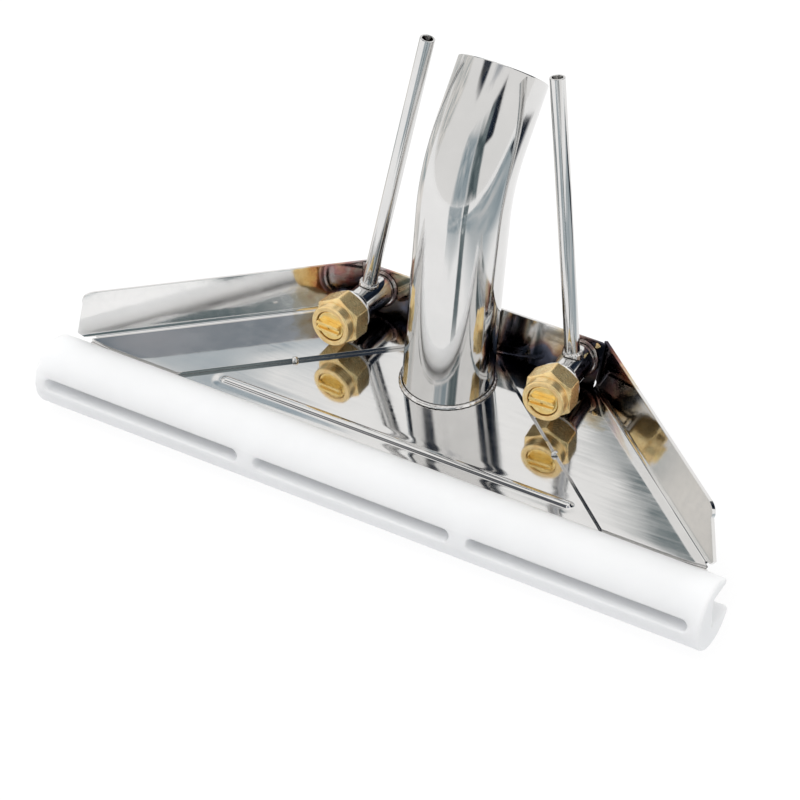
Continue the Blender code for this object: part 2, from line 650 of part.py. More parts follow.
def build_spray_tip(label):
    """Brass insert with its flange, and the slotted bar that shapes the fan."""
    profile = [(TIP_RADIUS, TIP_FACE), (TIP_RADIUS, FLANGE_FRONT), (FLANGE_RADIUS, FLANGE_FRONT),
               (FLANGE_RADIUS, FLANGE_BACK), (TIP_BORE, FLANGE_BACK), (TIP_BORE, TIP_BORE_END),
               (ORIFICE_RADIUS, ORIFICE_BACK), (ORIFICE_RADIUS, TIP_FACE)]
    tip = add(f"{label}_spray_tip", turned_mesh("tip", profile), brass, JET[label])
    bar = box_mesh("bar", (-BAR_HALF_LENGTH, -BAR_HALF_WIDTH, BAR_FOOT),
                   (BAR_HALF_LENGTH, BAR_HALF_WIDTH, BAR_TOP))
    boolean(tip, cutter(f"{label}_tip_bar", bar, JET[label]), "UNION")
    past = 2 * MM
    slot = box_mesh("slot", (-BAR_HALF_LENGTH - past, -SLOT_HALF_WIDTH, SLOT_FLOOR),
                    (BAR_HALF_LENGTH + past, SLOT_HALF_WIDTH, BAR_TOP + past))
    boolean(tip, cutter(f"{label}_tip_slot", slot, JET[label]))
    top, bottom = BAR_TOP + past, ORIFICE_BACK - past
    drill = turned_mesh("drill", [(0, top), (ORIFICE_RADIUS, top), (ORIFICE_RADIUS, bottom), (0, bottom)],
                        COARSE_ROUND)
    boolean(tip, cutter(f"{label}_tip_drill", drill, JET[label]))


def build_strainer(label):
    """Cup-shaped screen behind the tip, open towards it."""
    inner, floor = STRAINER_RADIUS - STRAINER_WALL, STRAINER_BACK + STRAINER_WALL
    profile = [(0, floor), (inner, floor), (inner, STRAINER_FRONT), (STRAINER_RADIUS, STRAINER_FRONT),
               (STRAINER_RADIUS, STRAINER_BACK), (0, STRAINER_BACK)]
    add(f"{label}_strainer", turned_mesh("strainer", profile, 24), steel, JET[label])


def build_check_valve(label):
    """Ball that closes the seat, and the coil spring in front of it."""
    shape = bmesh.new()
    bmesh.ops.create_uvsphere(shape, u_segments=20, v_segments=12, radius=BALL_RADIUS)
    mesh = bpy.data.meshes.new("ball")
    shape.to_mesh(mesh)
    shape.free()
    add(f"{label}_check_ball", mesh, steel, JET[label], Matrix.Translation((0, 0, BALL_Z)))
    points_per_turn = 12
    low, high = BALL_Z + BALL_RADIUS + GAP + COIL_WIRE, STRAINER_BACK - GAP - COIL_WIRE
    count = COIL_TURNS * points_per_turn
    helix = [(COIL_RADIUS * math.cos(math.tau * step / points_per_turn),
              COIL_RADIUS * math.sin(math.tau * step / points_per_turn),
              low + (high - low) * step / count) for step in range(count + 1)]
    add(f"{label}_check_spring", swept_mesh("spring", helix, COIL_WIRE, 1), steel, JET[label])


# ---------------------------------------------------------------- solution tubes

def solution_axis(side):
    """Foot and top of a solution tube's axis."""
    return [Vector((side * point.x, point.y, point.z)) for point in (SOLUTION_FOOT, SOLUTION_TOP)]


def build_solution_tube(label, side):
    """Small tube standing on the jet body, with a saddle weld round its foot."""
    foot, top = solution_axis(side)
    along = (top - foot).normalized()
    past = along * 5 * MM
    tube = add(f"{label}_solution_tube", swept_mesh("tube", [foot, top], SOLUTION_RADIUS, 6), steel)
    bore = swept_mesh("bore", [foot - past, top + past], SOLUTION_RADIUS - SOLUTION_WALL, 6)
    boolean(tube, cutter(f"{label}_solution_bore", bore))
    upright = Vector((0, 0, 1)).rotation_difference(along).to_matrix().to_4x4()
    inner = SOLUTION_RADIUS + GAP
    outer = inner + SADDLE_WIDTH
    ring = [(inner, SADDLE_RISE), (inner + SADDLE_WIDTH / 2, SADDLE_RISE), (outer, -SADDLE_WIDTH / 2),
            (outer, -SADDLE_DROP), (inner, -SADDLE_DROP)]
    saddle = add(f"{label}_tube_weld", turned_mesh("saddle", ring), steel,
                 matrix=Matrix.Translation(foot) @ upright)
    clear = BOSS_RADIUS + GAP
    boss = turned_mesh("boss", [(0, 0), (clear, 0), (clear, BOSS_BACK), (0, BOSS_BACK)])
    boolean(saddle, cutter(f"{label}_saddle_cut", boss, JET[label]))


def build():
    build_glide()
    build_pan()
    build_top_plate()
    build_back_wall()
    build_mouth_spacers()
    build_flow_dividers()
    build_vacuum_tube()
    for label, side in SIDES:
        build_wing(label, side)
        build_seam_tack(label, side)
        build_corner_weld(label, side)
        build_jet_body(label, side)
        build_boss_weld(label)
        build_washer(label)
        build_nut(label)
        build_spray_tip(label)
        build_strainer(label)
        build_check_valve(label)
        build_solution_tube(label, side)


build()
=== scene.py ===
"""Looks of the extraction floor wand head: mirror-polished steel, brass spray jets and a white glide.

Shapes are made in the head frame, in metres: its origin is the foot of the vacuum tube on the top plate,
X runs along the glide, -Y is the side the glide faces, and Z is square to the top plate.
"""

import math

import bmesh
import bpy
from mathutils import Matrix, Vector


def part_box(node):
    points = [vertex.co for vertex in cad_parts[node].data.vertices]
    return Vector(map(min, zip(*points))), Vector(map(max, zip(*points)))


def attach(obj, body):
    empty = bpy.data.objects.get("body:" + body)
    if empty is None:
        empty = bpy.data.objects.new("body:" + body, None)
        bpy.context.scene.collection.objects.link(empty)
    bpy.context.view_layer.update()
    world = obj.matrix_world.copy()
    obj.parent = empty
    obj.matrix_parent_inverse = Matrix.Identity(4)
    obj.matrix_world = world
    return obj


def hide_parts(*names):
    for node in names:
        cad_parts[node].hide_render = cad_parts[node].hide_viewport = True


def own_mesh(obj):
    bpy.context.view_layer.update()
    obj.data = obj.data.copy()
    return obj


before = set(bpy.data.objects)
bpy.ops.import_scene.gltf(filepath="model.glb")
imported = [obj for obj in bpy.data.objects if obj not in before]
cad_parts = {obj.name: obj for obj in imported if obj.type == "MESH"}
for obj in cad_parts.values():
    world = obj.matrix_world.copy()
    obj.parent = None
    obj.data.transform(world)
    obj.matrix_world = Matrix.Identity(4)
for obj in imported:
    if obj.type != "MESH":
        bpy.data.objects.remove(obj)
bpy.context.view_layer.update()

MM = 0.001
GAP = 0.3 * MM  # clearance that the CAD keeps between neighbouring solids
SHEET = 1.5 * MM
LAP_GAP = 0.1 * MM  # between the top plate and the flanges that lie on it
LAP_Z = LAP_GAP + SHEET
LAP_FRONT_Y = -53.4 * MM
SIDES = (("left", -1), ("right", 1))

# Glide
GLIDE_RADIUS = 14.7 * MM
GLIDE_HALF = (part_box("glide")[1].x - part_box("glide")[0].x) / 2
GLIDE_Y = -65.7 * MM
GLIDE_Z = -8.3 * MM
GROOVE_BACK_Y = -67.2 * MM
GROOVE_LOW_Z = -13.3 * MM
SLOT_LOW_Z = -8.4 * MM
SLOT_HIGH_Z = -3.1 * MM
SLOT_SPANS = ((-147.8 * MM, -52.8 * MM), (-45.2 * MM, 45.2 * MM), (52.8 * MM, 147.8 * MM))

HEAD_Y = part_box("glide")[0].y + GLIDE_RADIUS - GLIDE_Y
HEAD_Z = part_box("glide")[0].z + GLIDE_RADIUS - GLIDE_Z
HEAD = Matrix.Translation((0, HEAD_Y, HEAD_Z))

# Sheet metal
LIP_Y = GROOVE_BACK_Y + GAP
MOUTH_HALF = 142.5 * MM
MOUTH_LOW_Z = GROOVE_LOW_Z + GAP
SIDE_SLOPE = 1.155
SEAM_X = 36.66 * MM
FOLD_X = 83.56 * MM
FOLD_RADIUS = 3.0 * MM
SHOULDER_Y = (FOLD_X - MOUTH_HALF) / SIDE_SLOPE
PLATE_BACK_Y = 23.0 * MM
WALL_HEIGHT = 20.8 * MM
WALL_FLARE = 7.8 * MM
FOLD_FRONT_Y = -50.4 * MM
FOLD_CUT_HEIGHT = 2.0 * MM  # the fold is cut back at its front up to here
WALL_KNEE_HEIGHT = 4.0 * MM
WALL_FRONTS = {  # y of a wall's front edge at its foot, at its knee and at its top
    "left": (-53.1 * MM, -54.4 * MM, -50.0 * MM),
    "right": (-51.2 * MM, -51.7 * MM, -42.3 * MM),
}
WALL_WRAP_Y = 25.2 * MM
WALL_CORNER = 4.5 * MM
BACK_Y = 23.3 * MM
BACK_LEAN = 5.3 * MM
BACK_HALF_LOW = 53.6 * MM
BACK_HALF_HIGH = 55.8 * MM
BACK_MITRE = 1.8 * MM  # how much longer the wall is at its front face than at its back
BACK_ANGLE = math.atan2(BACK_LEAN, WALL_HEIGHT)
BACK_FRAME = Matrix.Translation((0, BACK_Y, GAP)) @ Matrix.Rotation(math.pi / 2 - BACK_ANGLE, 4, "X")
PAN_FLAT_Y = 8.0 * MM
PAN_NECK_Y = -50.0 * MM
RIB_Y = -45.7 * MM
RIB_HALF = 82.0 * MM
RIB_WIDTH = 5.0 * MM
RIB_HEIGHT = 1.0 * MM

# Vacuum tube
TUBE_RADIUS = 19.05 * MM
TUBE_WALL = 1.5 * MM
TUBE_LEAN = math.radians(8.9)
TUBE_STRAIGHT = 77.0 * MM
TUBE_BEND_RADIUS = 57.15 * MM
TUBE_BEND = math.radians(33.1)
TUBE_TOP = 27.2 * MM

# Spray jets: local +Z is the spray direction, z = 0 is the front of the nut's collar
JET_TIP = Vector((49.84 * MM, -11.43 * MM, 15.86 * MM))
JET_YAW = math.radians(3.4)
JET_PITCH = math.radians(6.0)
BOSS_RADIUS = 7.0 * MM
BOSS_BACK = -41.5 * MM
SHOULDER_RADIUS = 8.4 * MM
SHOULDER_BACK = -18.0 * MM
NOSE_RADIUS = 7.3 * MM
NOSE_FRONT = -9.3 * MM
STRAINER_BORE = 4.3 * MM
STRAINER_STEP = -15.8 * MM
STRAINER_BACK = -15.4 * MM
BALL_FRONT = -22.34 * MM
COIL_RADIUS = 2.3 * MM
COIL_WIRE = 0.25 * MM
COIL_TURNS = 5
VALVE_BORE = 3.3 * MM
CONE_FRONT = -26.1 * MM
SEAT_RADIUS = 2.0 * MM
SEAT_FRONT = -27.4 * MM
SEAT_BACK = -28.5 * MM
BORE_END = -36.0 * MM
INLET_RADIUS = 2.2 * MM
NUT_FLATS = 19.5 * MM
NUT_BACK = -14.2 * MM
NUT_CHAMFER = 1.1 * MM
NUT_SHOULDER = -7.2 * MM
THREAD_RADIUS = NOSE_RADIUS + 0.4 * MM
THREAD_PITCH = 1.25 * MM
COLLAR_RADIUS = 9.1 * MM
COLLAR_BACK = -5.0 * MM
COLLAR_HOLE = 6.7 * MM
WASHER_BACK = -15.7 * MM
WASHER_RADIUS = 9.4 * MM
TIP_FACE = -0.6 * MM
TIP_RADIUS = 6.4 * MM
FLANGE_RADIUS = 7.0 * MM
FLANGE_FRONT = -7.5 * MM
FLANGE_BACK = -9.0 * MM
TIP_BORE = 2.6 * MM
TIP_BORE_END = -3.4 * MM
ORIFICE_RADIUS = 0.5 * MM
ORIFICE_BACK = -2.2 * MM
BAR_HALF_LENGTH = 5.4 * MM
BAR_HALF_WIDTH = 2.1 * MM
BAR_FOOT = -1.6 * MM
BAR_TOP = 2.2 * MM
SLOT_HALF_WIDTH = 0.5 * MM
SLOT_FLOOR = 0.9 * MM

# Solution tubes
SOLUTION_RADIUS = 3.175 * MM
SOLUTION_WALL = 0.9 * MM
SOLUTION_FOOT = Vector((48.0 * MM, 17.8 * MM, 20.4 * MM))
SOLUTION_TOP = Vector((28.9 * MM, 34.0 * MM, 137.0 * MM))

# Camera, in the row frame
CAMERA_PLACE = (0.43976, -0.77421, 0.74123)
CAMERA_TURN = (50.974, 0.407, 30.184)
CAMERA_LENS = 125.3


# ---- node helpers

class Shader:
    """A Principled material, and short calls that add nodes to it."""

    def __init__(self, name, colour, roughness, metallic=0.0):
        self.material = bpy.data.materials.new(name)
        self.material.use_nodes = True
        self.tree = self.material.node_tree
        self.out = self.tree.nodes["Principled BSDF"]
        self.set("Base Color", (*colour, 1.0))
        self.set("Roughness", roughness)
        self.set("Metallic", metallic)
        self.place = self.node("TexCoord").outputs["Object"]

    def set(self, socket, value):
        self.out.inputs[socket].default_value = value

    def link(self, source, socket):
        self.tree.links.new(source, self.out.inputs[socket])

    def node(self, kind, inputs=None, **settings):
        made = self.tree.nodes.new("ShaderNode" + kind)
        for name, value in settings.items():
            setattr(made, name, value)
        for name, value in (inputs or {}).items():
            if isinstance(value, bpy.types.NodeSocket):
                self.tree.links.new(value, made.inputs[name])
            else:
                made.inputs[name].default_value = value
        return made

    def maths(self, operation, first, second):
        return self.node("Math", {0: first, 1: second}, operation=operation).outputs["Value"]

    def vector_maths(self, operation, first, second=(0, 0, 0), output="Vector"):
        return self.node("VectorMath", {0: first, 1: second}, operation=operation).outputs[output]

    def stretched(self, scale):
        """Object coordinates with each axis scaled."""
        return self.node("Mapping", {"Vector": self.place, "Scale": scale}).outputs["Vector"]

    def noise(self, vector, scale, detail, roughness=0.55):
        inputs = {"Vector": vector, "Scale": scale, "Detail": detail, "Roughness": roughness}
        return self.node("TexNoise", inputs).outputs["Fac"]

    def ramp(self, value, stops):
        """A colour ramp; a stop is (position, colour or grey)."""
        made = self.node("ValToRGB", {"Fac": value})
        elements = made.color_ramp.elements
        while len(elements) < len(stops):
            elements.new(0.5)
        for element, (position, colour) in zip(elements, stops):
            element.position = position
            element.color = (*colour, 1) if isinstance(colour, tuple) else (colour, colour, colour, 1)
        return made.outputs["Color"]

    def scaled(self, value, low, high, from_low=0.3, from_high=0.7):
        inputs = {"Value": value, "From Min": from_low, "From Max": from_high, "To Min": low, "To Max": high}
        return self.node("MapRange", inputs).outputs["Result"]

    def multiplied(self, first, second):
        """Two colours multiplied."""
        made = self.node("Mix", {0: 1.0}, data_type="RGBA", blend_type="MULTIPLY")
        self.tree.links.new(first, made.inputs[6])
        self.tree.links.new(second, made.inputs[7])
        return made.outputs[2]

    def bump(self, height, distance, strength, normal=None):
        inputs = {"Height": height, "Distance": distance, "Strength": strength}
        if normal is not None:
            inputs["Normal"] = normal
        return self.node("Bump", inputs).outputs["Normal"]

    def tint(self, points, radius, stops, scale):
        """Colours by the distance from the nearest of some points, as a share of radius."""
        nearest = 2 * radius
        for point in points:
            away = self.vector_maths("DISTANCE", self.place, point, "Value")
            nearest = self.maths("MINIMUM", nearest, away)
        wander = self.scaled(self.noise(self.place, scale, 3.0), -0.2, 0.2, 0.25, 0.75)
        return self.ramp(self.maths("ADD", self.maths("DIVIDE", nearest, radius), wander), stops)


def steel_material(name, grain, shine, heat_points=(), crevice_shade_points=()):
    """Mirror-polished stainless steel with polishing lines, smears, the heat tint of welding, and painted
    shade darkening the steel near the inside corners.
    """
    heat_reach, crevice_shade_reach = 24 * MM, 15 * MM
    steel = Shader(name, (shine, shine, shine), 0.06, 1.0)
    lines = steel.noise(steel.stretched(grain), 1.0, 4.0)
    smears = steel.noise(steel.place, 38.0, 4.0, 0.6)
    steel.link(steel.maths("ADD", steel.scaled(lines, 0.0, 0.05, 0.35, 0.75),
                           steel.scaled(smears, 0.025, 0.085)), "Roughness")
    colour = steel.ramp(smears, [(0.3, (shine * 0.955, shine * 0.95, shine * 0.94)),
                                 (0.7, (shine * 1.04, shine * 1.03, shine * 1.02))])
    heat = [(0.25, (0.56, 0.50, 0.50)), (0.38, (0.52, 0.27, 0.27)), (0.5, (0.66, 0.38, 0.29)),
            (0.66, (0.82, 0.66, 0.44)), (0.84, (0.92, 0.85, 0.72)), (1.0, 1.0)]
    # painted shade: near-black tones that darken the steel in the inside corners along the back wall's foot
    crevice_shade = [(0.30, (0.05, 0.055, 0.08)), (0.5, (0.12, 0.13, 0.18)), (0.62, (0.28, 0.18, 0.17)),
            (0.78, (0.66, 0.58, 0.50)), (1.0, 1.0)]
    if heat_points:
        colour = steel.multiplied(colour, steel.tint(heat_points, heat_reach, heat, 150.0))
    # painted shade, multiplied into the steel colour near the crevice points
    if crevice_shade_points:
        colour = steel.multiplied(colour, steel.tint(crevice_shade_points, crevice_shade_reach, crevice_shade, 90.0))
    steel.link(colour, "Base Color")
    wavy = steel.bump(steel.noise(steel.place, 14.0, 1.0), 0.35 * MM, 0.5)
    steel.link(steel.bump(lines, 0.01 * MM, 0.25, wavy), "Normal")
    return steel.material


def weld_material(name, bright, tinted, burnt):
    """Weld metal, rippled and uneven, in three tones."""
    weld = Shader(name, bright, 0.2, 1.0)
    patches = weld.noise(weld.place, 420.0, 3.0)
    weld.link(weld.ramp(patches, [(0.35, bright), (0.55, tinted), (0.75, burnt)]), "Base Color")
    weld.link(weld.scaled(patches, 0.12, 0.35), "Roughness")
    weld.link(weld.bump(weld.noise(weld.place, 900.0, 2.0), 0.12 * MM, 0.6), "Normal")
    return weld.material


def brass_material(name, dark, light, roughness, metallic):
    """Machined brass: rings from the lathe about the local Z axis, and small blotches."""
    brass = Shader(name, light, roughness, metallic)
    blotches = brass.noise(brass.place, 260.0, 4.0)
    brass.link(brass.ramp(blotches, [(0.32, dark), (0.62, light)]), "Base Color")
    flat = brass.vector_maths("MULTIPLY", brass.place, (1.0, 1.0, 0.0))
    spread = brass.vector_maths("LENGTH", flat, output="Value")
    across = brass.node("CombineXYZ", {"X": spread}).outputs["Vector"]
    rings = brass.noise(brass.vector_maths("ADD", across, brass.stretched((0.0, 0.0, 1.0))), 5200.0, 2.0)
    brass.link(brass.scaled(rings, roughness - 0.07, roughness + 0.12), "Roughness")
    dents = brass.bump(blotches, 0.05 * MM, 0.5)
    brass.link(brass.bump(rings, 0.02 * MM, 0.35, dents), "Normal")
    return brass.material


def glide_material():
    """White low-friction plastic: satin, slightly translucent, with faint lengthwise machining lines."""
    plastic = Shader("glide_plastic", (0.84, 0.85, 0.865), 0.38)
    plastic.set("Subsurface Weight", 0.85)
    plastic.set("Subsurface Radius", (1.0, 1.0, 1.0))
    plastic.set("Subsurface Scale", 11.0 * MM)
    plastic.set("IOR", 1.5)
    lines = plastic.noise(plastic.stretched((18.0, 2600.0, 2600.0)), 1.0, 3.0)
    mottle = plastic.noise(plastic.place, 55.0, 4.0)
    plastic.link(plastic.ramp(mottle, [(0.3, (0.83, 0.84, 0.855)), (0.7, (0.85, 0.86, 0.875))]), "Base Color")
    plastic.link(plastic.scaled(mottle, 0.32, 0.46), "Roughness")
    plastic.link(plastic.bump(lines, 0.02 * MM, 0.4), "Normal")
    return plastic.material


def washer_material():
    """Off-white sealing washer."""
    plastic = Shader("washer_plastic", (0.86, 0.85, 0.82), 0.45)
    grain = plastic.noise(plastic.place, 700.0, 3.0)
    plastic.link(plastic.ramp(grain, [(0.3, (0.80, 0.79, 0.76)), (0.7, (0.89, 0.88, 0.86))]), "Base Color")
    plastic.link(plastic.bump(grain, 0.03 * MM, 0.4), "Normal")
    return plastic.material


def inner_material():
    """Drawn steel of the hidden parts, with a satin grain."""
    steel = Shader("inner_steel", (0.62, 0.62, 0.62), 0.28, 1.0)
    grain = steel.noise(steel.stretched((900.0, 900.0, 120.0)), 1.0, 3.0)
    steel.link(steel.ramp(grain, [(0.3, (0.52, 0.52, 0.53)), (0.7, (0.68, 0.68, 0.67))]), "Base Color")
    steel.link(steel.scaled(grain, 0.2, 0.4), "Roughness")
    return steel.material


# ---- mesh helpers

def placed(name, data):
    """A new object in the scene."""
    made = bpy.data.objects.new(name, data)
    bpy.context.scene.collection.objects.link(made)
    return made


def edited(mesh, change):
    """mesh, after change has worked on it as a bmesh."""
    shape = bmesh.new()
    shape.from_mesh(mesh)
    change(shape)
    shape.to_mesh(mesh)
    shape.free()
    return mesh


def join_doubles(shape):
    bmesh.ops.remove_doubles(shape, verts=shape.verts, dist=0.0005 * MM)


def face_outward(shape):
    join_doubles(shape)
    bmesh.ops.recalc_face_normals(shape, faces=shape.faces)


def finished(mesh, angle=35):
    """Faces turned out, doubles joined, smooth apart from corners sharper than angle."""
    edited(mesh, face_outward)
    mesh.shade_smooth()
    mesh.set_sharp_from_angle(angle=math.radians(angle))
    return mesh


def loft(rows, wrap_rows=False, wrap_columns=True, cap=False):
    """A mesh through rows of points, each row of the same length."""
    shape = bmesh.new()
    grid = [[shape.verts.new(point) for point in row] for row in rows]
    lines = grid + [grid[0]] if wrap_rows else grid
    for low, high in zip(lines, lines[1:]):
        columns = len(low)
        for index in range(columns if wrap_columns else columns - 1):
            beside = (index + 1) % columns
            shape.faces.new((low[index], low[beside], high[beside], high[index]))
    if cap:
        shape.faces.new(grid[0])
        shape.faces.new(grid[-1][::-1])
    mesh = bpy.data.meshes.new("mesh")
    shape.to_mesh(mesh)
    shape.free()
    return mesh


def evenly(low, high, count):
    """count + 1 values from low to high."""
    return [low + (high - low) * index / count for index in range(count + 1)]


def polar(radius, turn, z):
    return (radius * math.cos(turn), radius * math.sin(turn), z)


def circle(radius, z, sides):
    return [polar(radius, math.tau * index / sides, z) for index in range(sides)]


def turned(profile, sides=96, closed=True):
    """A profile of (radius, z) turned about Z; one that isn't closed has both ends on the axis."""
    rows = [circle(radius, z, sides) for radius, z in profile]
    return edited(loft(rows, wrap_rows=closed), join_doubles)


def rod(radius, low, high, sides=96):
    """A solid cylinder along Z."""
    return turned([(0, low), (radius, low), (radius, high), (0, high)], sides, False)


def quarter(steps):
    """Angles from 0 to 90 degrees."""
    return evenly(0, math.pi / 2, steps)


def rounded(points, radius, steps, closed=True):
    """An outline with each corner replaced by a short curve; radius is one value or one per corner."""
    made = []
    count = len(points)
    for index, point in enumerate(points):
        size = radius[index] if isinstance(radius, (list, tuple)) else radius
        if size == 0 or (not closed and index in (0, count - 1)):
            made.append(tuple(point))
            continue
        corner, before, after = (Vector(points[(index + step) % count]) for step in (0, -1, 1))
        cut = min(size, (before - corner).length * 0.45, (after - corner).length * 0.45)
        start = corner + (before - corner).normalized() * cut
        end = corner + (after - corner).normalized() * cut
        for step in range(steps + 1):
            share = step / steps
            made.append(tuple(start * (1 - share) ** 2 + corner * 2 * share * (1 - share) + end * share ** 2))
    return made


def stadium(half_length, half_width, centre, arc_points=16):
    """Outline of a bar with round ends, along the first coordinate."""
    outline = []
    for end in (1, -1):
        for step in range(arc_points + 1):
            angle = math.pi * (step / arc_points - 0.5)
            outline.append((centre[0] + end * (half_length - half_width + half_width * math.cos(angle)),
                            centre[1] + end * half_width * math.sin(angle)))
    return outline


def prism(outline, low, high):
    """A flat outline in XY, filled from low to high."""
    return loft([[(x, y, z) for x, y in outline] for z in (low, high)], cap=True)


def soften(body, width, segments, angle):
    """Round the edges of an object that are sharper than angle."""
    edges = body.modifiers.new("edges", "BEVEL")
    edges.width = width
    edges.segments = segments
    edges.limit_method = "ANGLE"
    edges.angle_limit = math.radians(angle)
    return edges


def worked(body, tools=()):
    """The mesh of an object with its modifiers applied; the object and its tools are removed."""
    bpy.context.view_layer.update()
    graph = bpy.context.evaluated_depsgraph_get()
    made = bpy.data.meshes.new_from_object(body.evaluated_get(graph))
    for obj in [body, *tools]:
        bpy.data.objects.remove(obj, do_unlink=True)
    return made


def carved(mesh, cuts, edge=0.0, segments=3, added=()):
    """mesh with the added meshes joined on, the cuts taken out, and its edges rounded."""
    body = placed("body", finished(mesh))
    tools = []
    for operation, tool in [("UNION", tool) for tool in added] + [("DIFFERENCE", tool) for tool in cuts]:
        tools.append(placed("tool", finished(tool)))
        change = body.modifiers.new("cut", "BOOLEAN")
        change.operation = operation
        change.solver = "EXACT"
        change.object = tools[-1]
    if edge:
        soften(body, edge, segments, 40).use_clamp_overlap = False
    return worked(body, tools)


def piece(name, mesh, material, stands_for, at=Matrix(), angle=35, weighted=False, body="root"):
    """Put a mesh, made in a frame of the head, in the scene as a named piece on a CAD body."""
    finished(mesh, angle).name = name
    mesh.materials.clear()
    mesh.materials.append(material)
    for face in mesh.polygons:
        face.material_index = 0
    made = placed(name, mesh)
    made.matrix_world = HEAD @ at
    if weighted:
        flatten = made.modifiers.new("flat_faces", "WEIGHTED_NORMAL")
        flatten.keep_sharp = True
        flatten.weight = 100
    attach(made, body)
    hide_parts(stands_for)
    return made


def side_x(offset, y):
    return offset - SIDE_SLOPE * y


def mirrored(point, side):
    return Vector((side * point.x, point.y, point.z))


def inset(distance):
    return distance * math.hypot(1, SIDE_SLOPE)


# ---- glide

def glide_outline():
    """Section of the glide in (y, z): a circle with the groove let into its back, both lips rounded."""
    lip, corner = 1.6 * MM, 0.9 * MM
    front_steps, low_lip_steps, high_lip_steps = 72, 10, 14

    def lip_centre(z):
        return Vector((GLIDE_Y + math.sqrt((GLIDE_RADIUS - lip) ** 2 - (z - GLIDE_Z) ** 2), z))

    def arc(centre, radius, start, end, steps):
        return [(centre.x + radius * math.cos(turn), centre.y + radius * math.sin(turn))
                for turn in evenly(start, end, steps)]

    middle = Vector((GLIDE_Y, GLIDE_Z))
    upper, lower = lip_centre(GAP + lip), lip_centre(GROOVE_LOW_Z - lip)
    upper_turn, lower_turn = (math.atan2(*(centre - middle).yx) for centre in (upper, lower))
    outline = arc(middle, GLIDE_RADIUS, upper_turn, lower_turn + math.tau, front_steps)
    outline += arc(lower, lip, lower_turn, math.pi / 2, low_lip_steps)[1:]
    outline += rounded([outline[-1], (GROOVE_BACK_Y, GROOVE_LOW_Z), (GROOVE_BACK_Y, GAP), (upper.x, GAP)],
                       corner, 4, closed=False)[1:-1]
    outline += arc(upper, lip, -math.pi / 2, upper_turn, high_lip_steps)[:-1]
    return outline


def shrunk(outline, distance):
    """An outline in (y, z) moved into the material."""
    made = []
    count = len(outline)
    for index in range(count):
        before, after = Vector(outline[index - 1]), Vector(outline[(index + 1) % count])
        along = (after - before).normalized()
        made.append((outline[index][0] - along.y * distance, outline[index][1] + along.x * distance))
    return made


def slot_cutter(low, high):
    """Bar with round ends that follows the glide's front and widens where it meets it."""
    flare = 0.7 * MM
    middle = ((low + high) / 2, (SLOT_LOW_Z + SLOT_HIGH_Z) / 2)
    half_height = (SLOT_HIGH_Z - SLOT_LOW_Z) / 2
    rows = []
    for depth in (-1.5 * MM, 0.0, 0.1 * MM, 0.25 * MM, 0.45 * MM, 0.7 * MM):
        spread = flare - math.sqrt(max(flare ** 2 - max(flare - depth, 0) ** 2, 0)) if depth >= 0 else flare
        row = []
        for x, z in stadium((high - low) / 2 + spread, half_height + spread, middle):
            front = GLIDE_Y - math.sqrt(GLIDE_RADIUS ** 2 - (z - GLIDE_Z) ** 2)
            row.append((x, front + depth, z))
        rows.append(row)
    rows.append([(x, GROOVE_BACK_Y + 1 * MM, z) for x, z in stadium((high - low) / 2, half_height, middle)])
    return loft(rows, cap=True)


def build_glide(material):
    rim = 1.2 * MM
    outline = glide_outline()
    rows = []
    for end in (-1, 1):
        ring = []
        for turn in quarter(6):
            section = shrunk(outline, rim * (1 - math.sin(turn)))
            x = end * (GLIDE_HALF - rim * (1 - math.cos(turn)))
            ring.append([(x, y, z) for y, z in section])
        rows += ring if end < 0 else ring[::-1]
    body = loft(rows, cap=True)
    cuts = [slot_cutter(low, high) for low, high in SLOT_SPANS]
    piece("glide_bar", carved(body, cuts), material, "glide", angle=30, body="glide")


# ---- sheet metal

def stepped(stops, steps):
    """Values from stop to stop, about one step of that stretch apart."""
    values = []
    for low, high, step in zip(stops, stops[1:], steps):
        values += evenly(low, high, max(1, round(abs(high - low) / step)))[:-1]
    return values + stops[-1:]


def rib_height(x, y):
    """Height of the pressed rib over the plate, with the shallow trough that the press leaves round it."""
    reach = math.hypot(max(abs(x) - (RIB_HALF - RIB_WIDTH / 2), 0), y - RIB_Y)
    peak, foot, calm, dip = 0.9 * MM, RIB_WIDTH / 2, 6.5 * MM, 0.07 * MM
    if reach >= calm:
        return 0.0
    if reach <= peak:
        return RIB_HEIGHT * (0.9 - 0.1 * (reach / peak) ** 2)
    if reach <= foot:
        share = (reach - peak) / (foot - peak)
        return RIB_HEIGHT * 0.8 - (RIB_HEIGHT * 0.8 + dip) * share * share * (3 - 2 * share)
    share = (reach - foot) / (calm - foot)
    return -dip * (1 - share * share * (3 - 2 * share))


def tube_point(length):
    """Frame on the tube's axis at a length from its foot, local Z along the tube."""
    heading = TUBE_LEAN + min(max(length - TUBE_STRAIGHT, 0) / TUBE_BEND_RADIUS, TUBE_BEND)
    rise = min(length, TUBE_STRAIGHT)
    y, z = rise * math.sin(TUBE_LEAN), rise * math.cos(TUBE_LEAN)
    y += TUBE_BEND_RADIUS * (math.cos(TUBE_LEAN) - math.cos(heading))
    z += TUBE_BEND_RADIUS * (math.sin(heading) - math.sin(TUBE_LEAN))
    past = max(length - TUBE_STRAIGHT - TUBE_BEND_RADIUS * TUBE_BEND, 0)
    y += past * math.sin(heading)
    z += past * math.cos(heading)
    return Matrix.Translation((0, y, z)) @ Matrix.Rotation(-heading, 4, "X")


def plate_half(y):
    """Half the width of the top plate."""
    return min(MOUTH_HALF, side_x(FOLD_X, y))


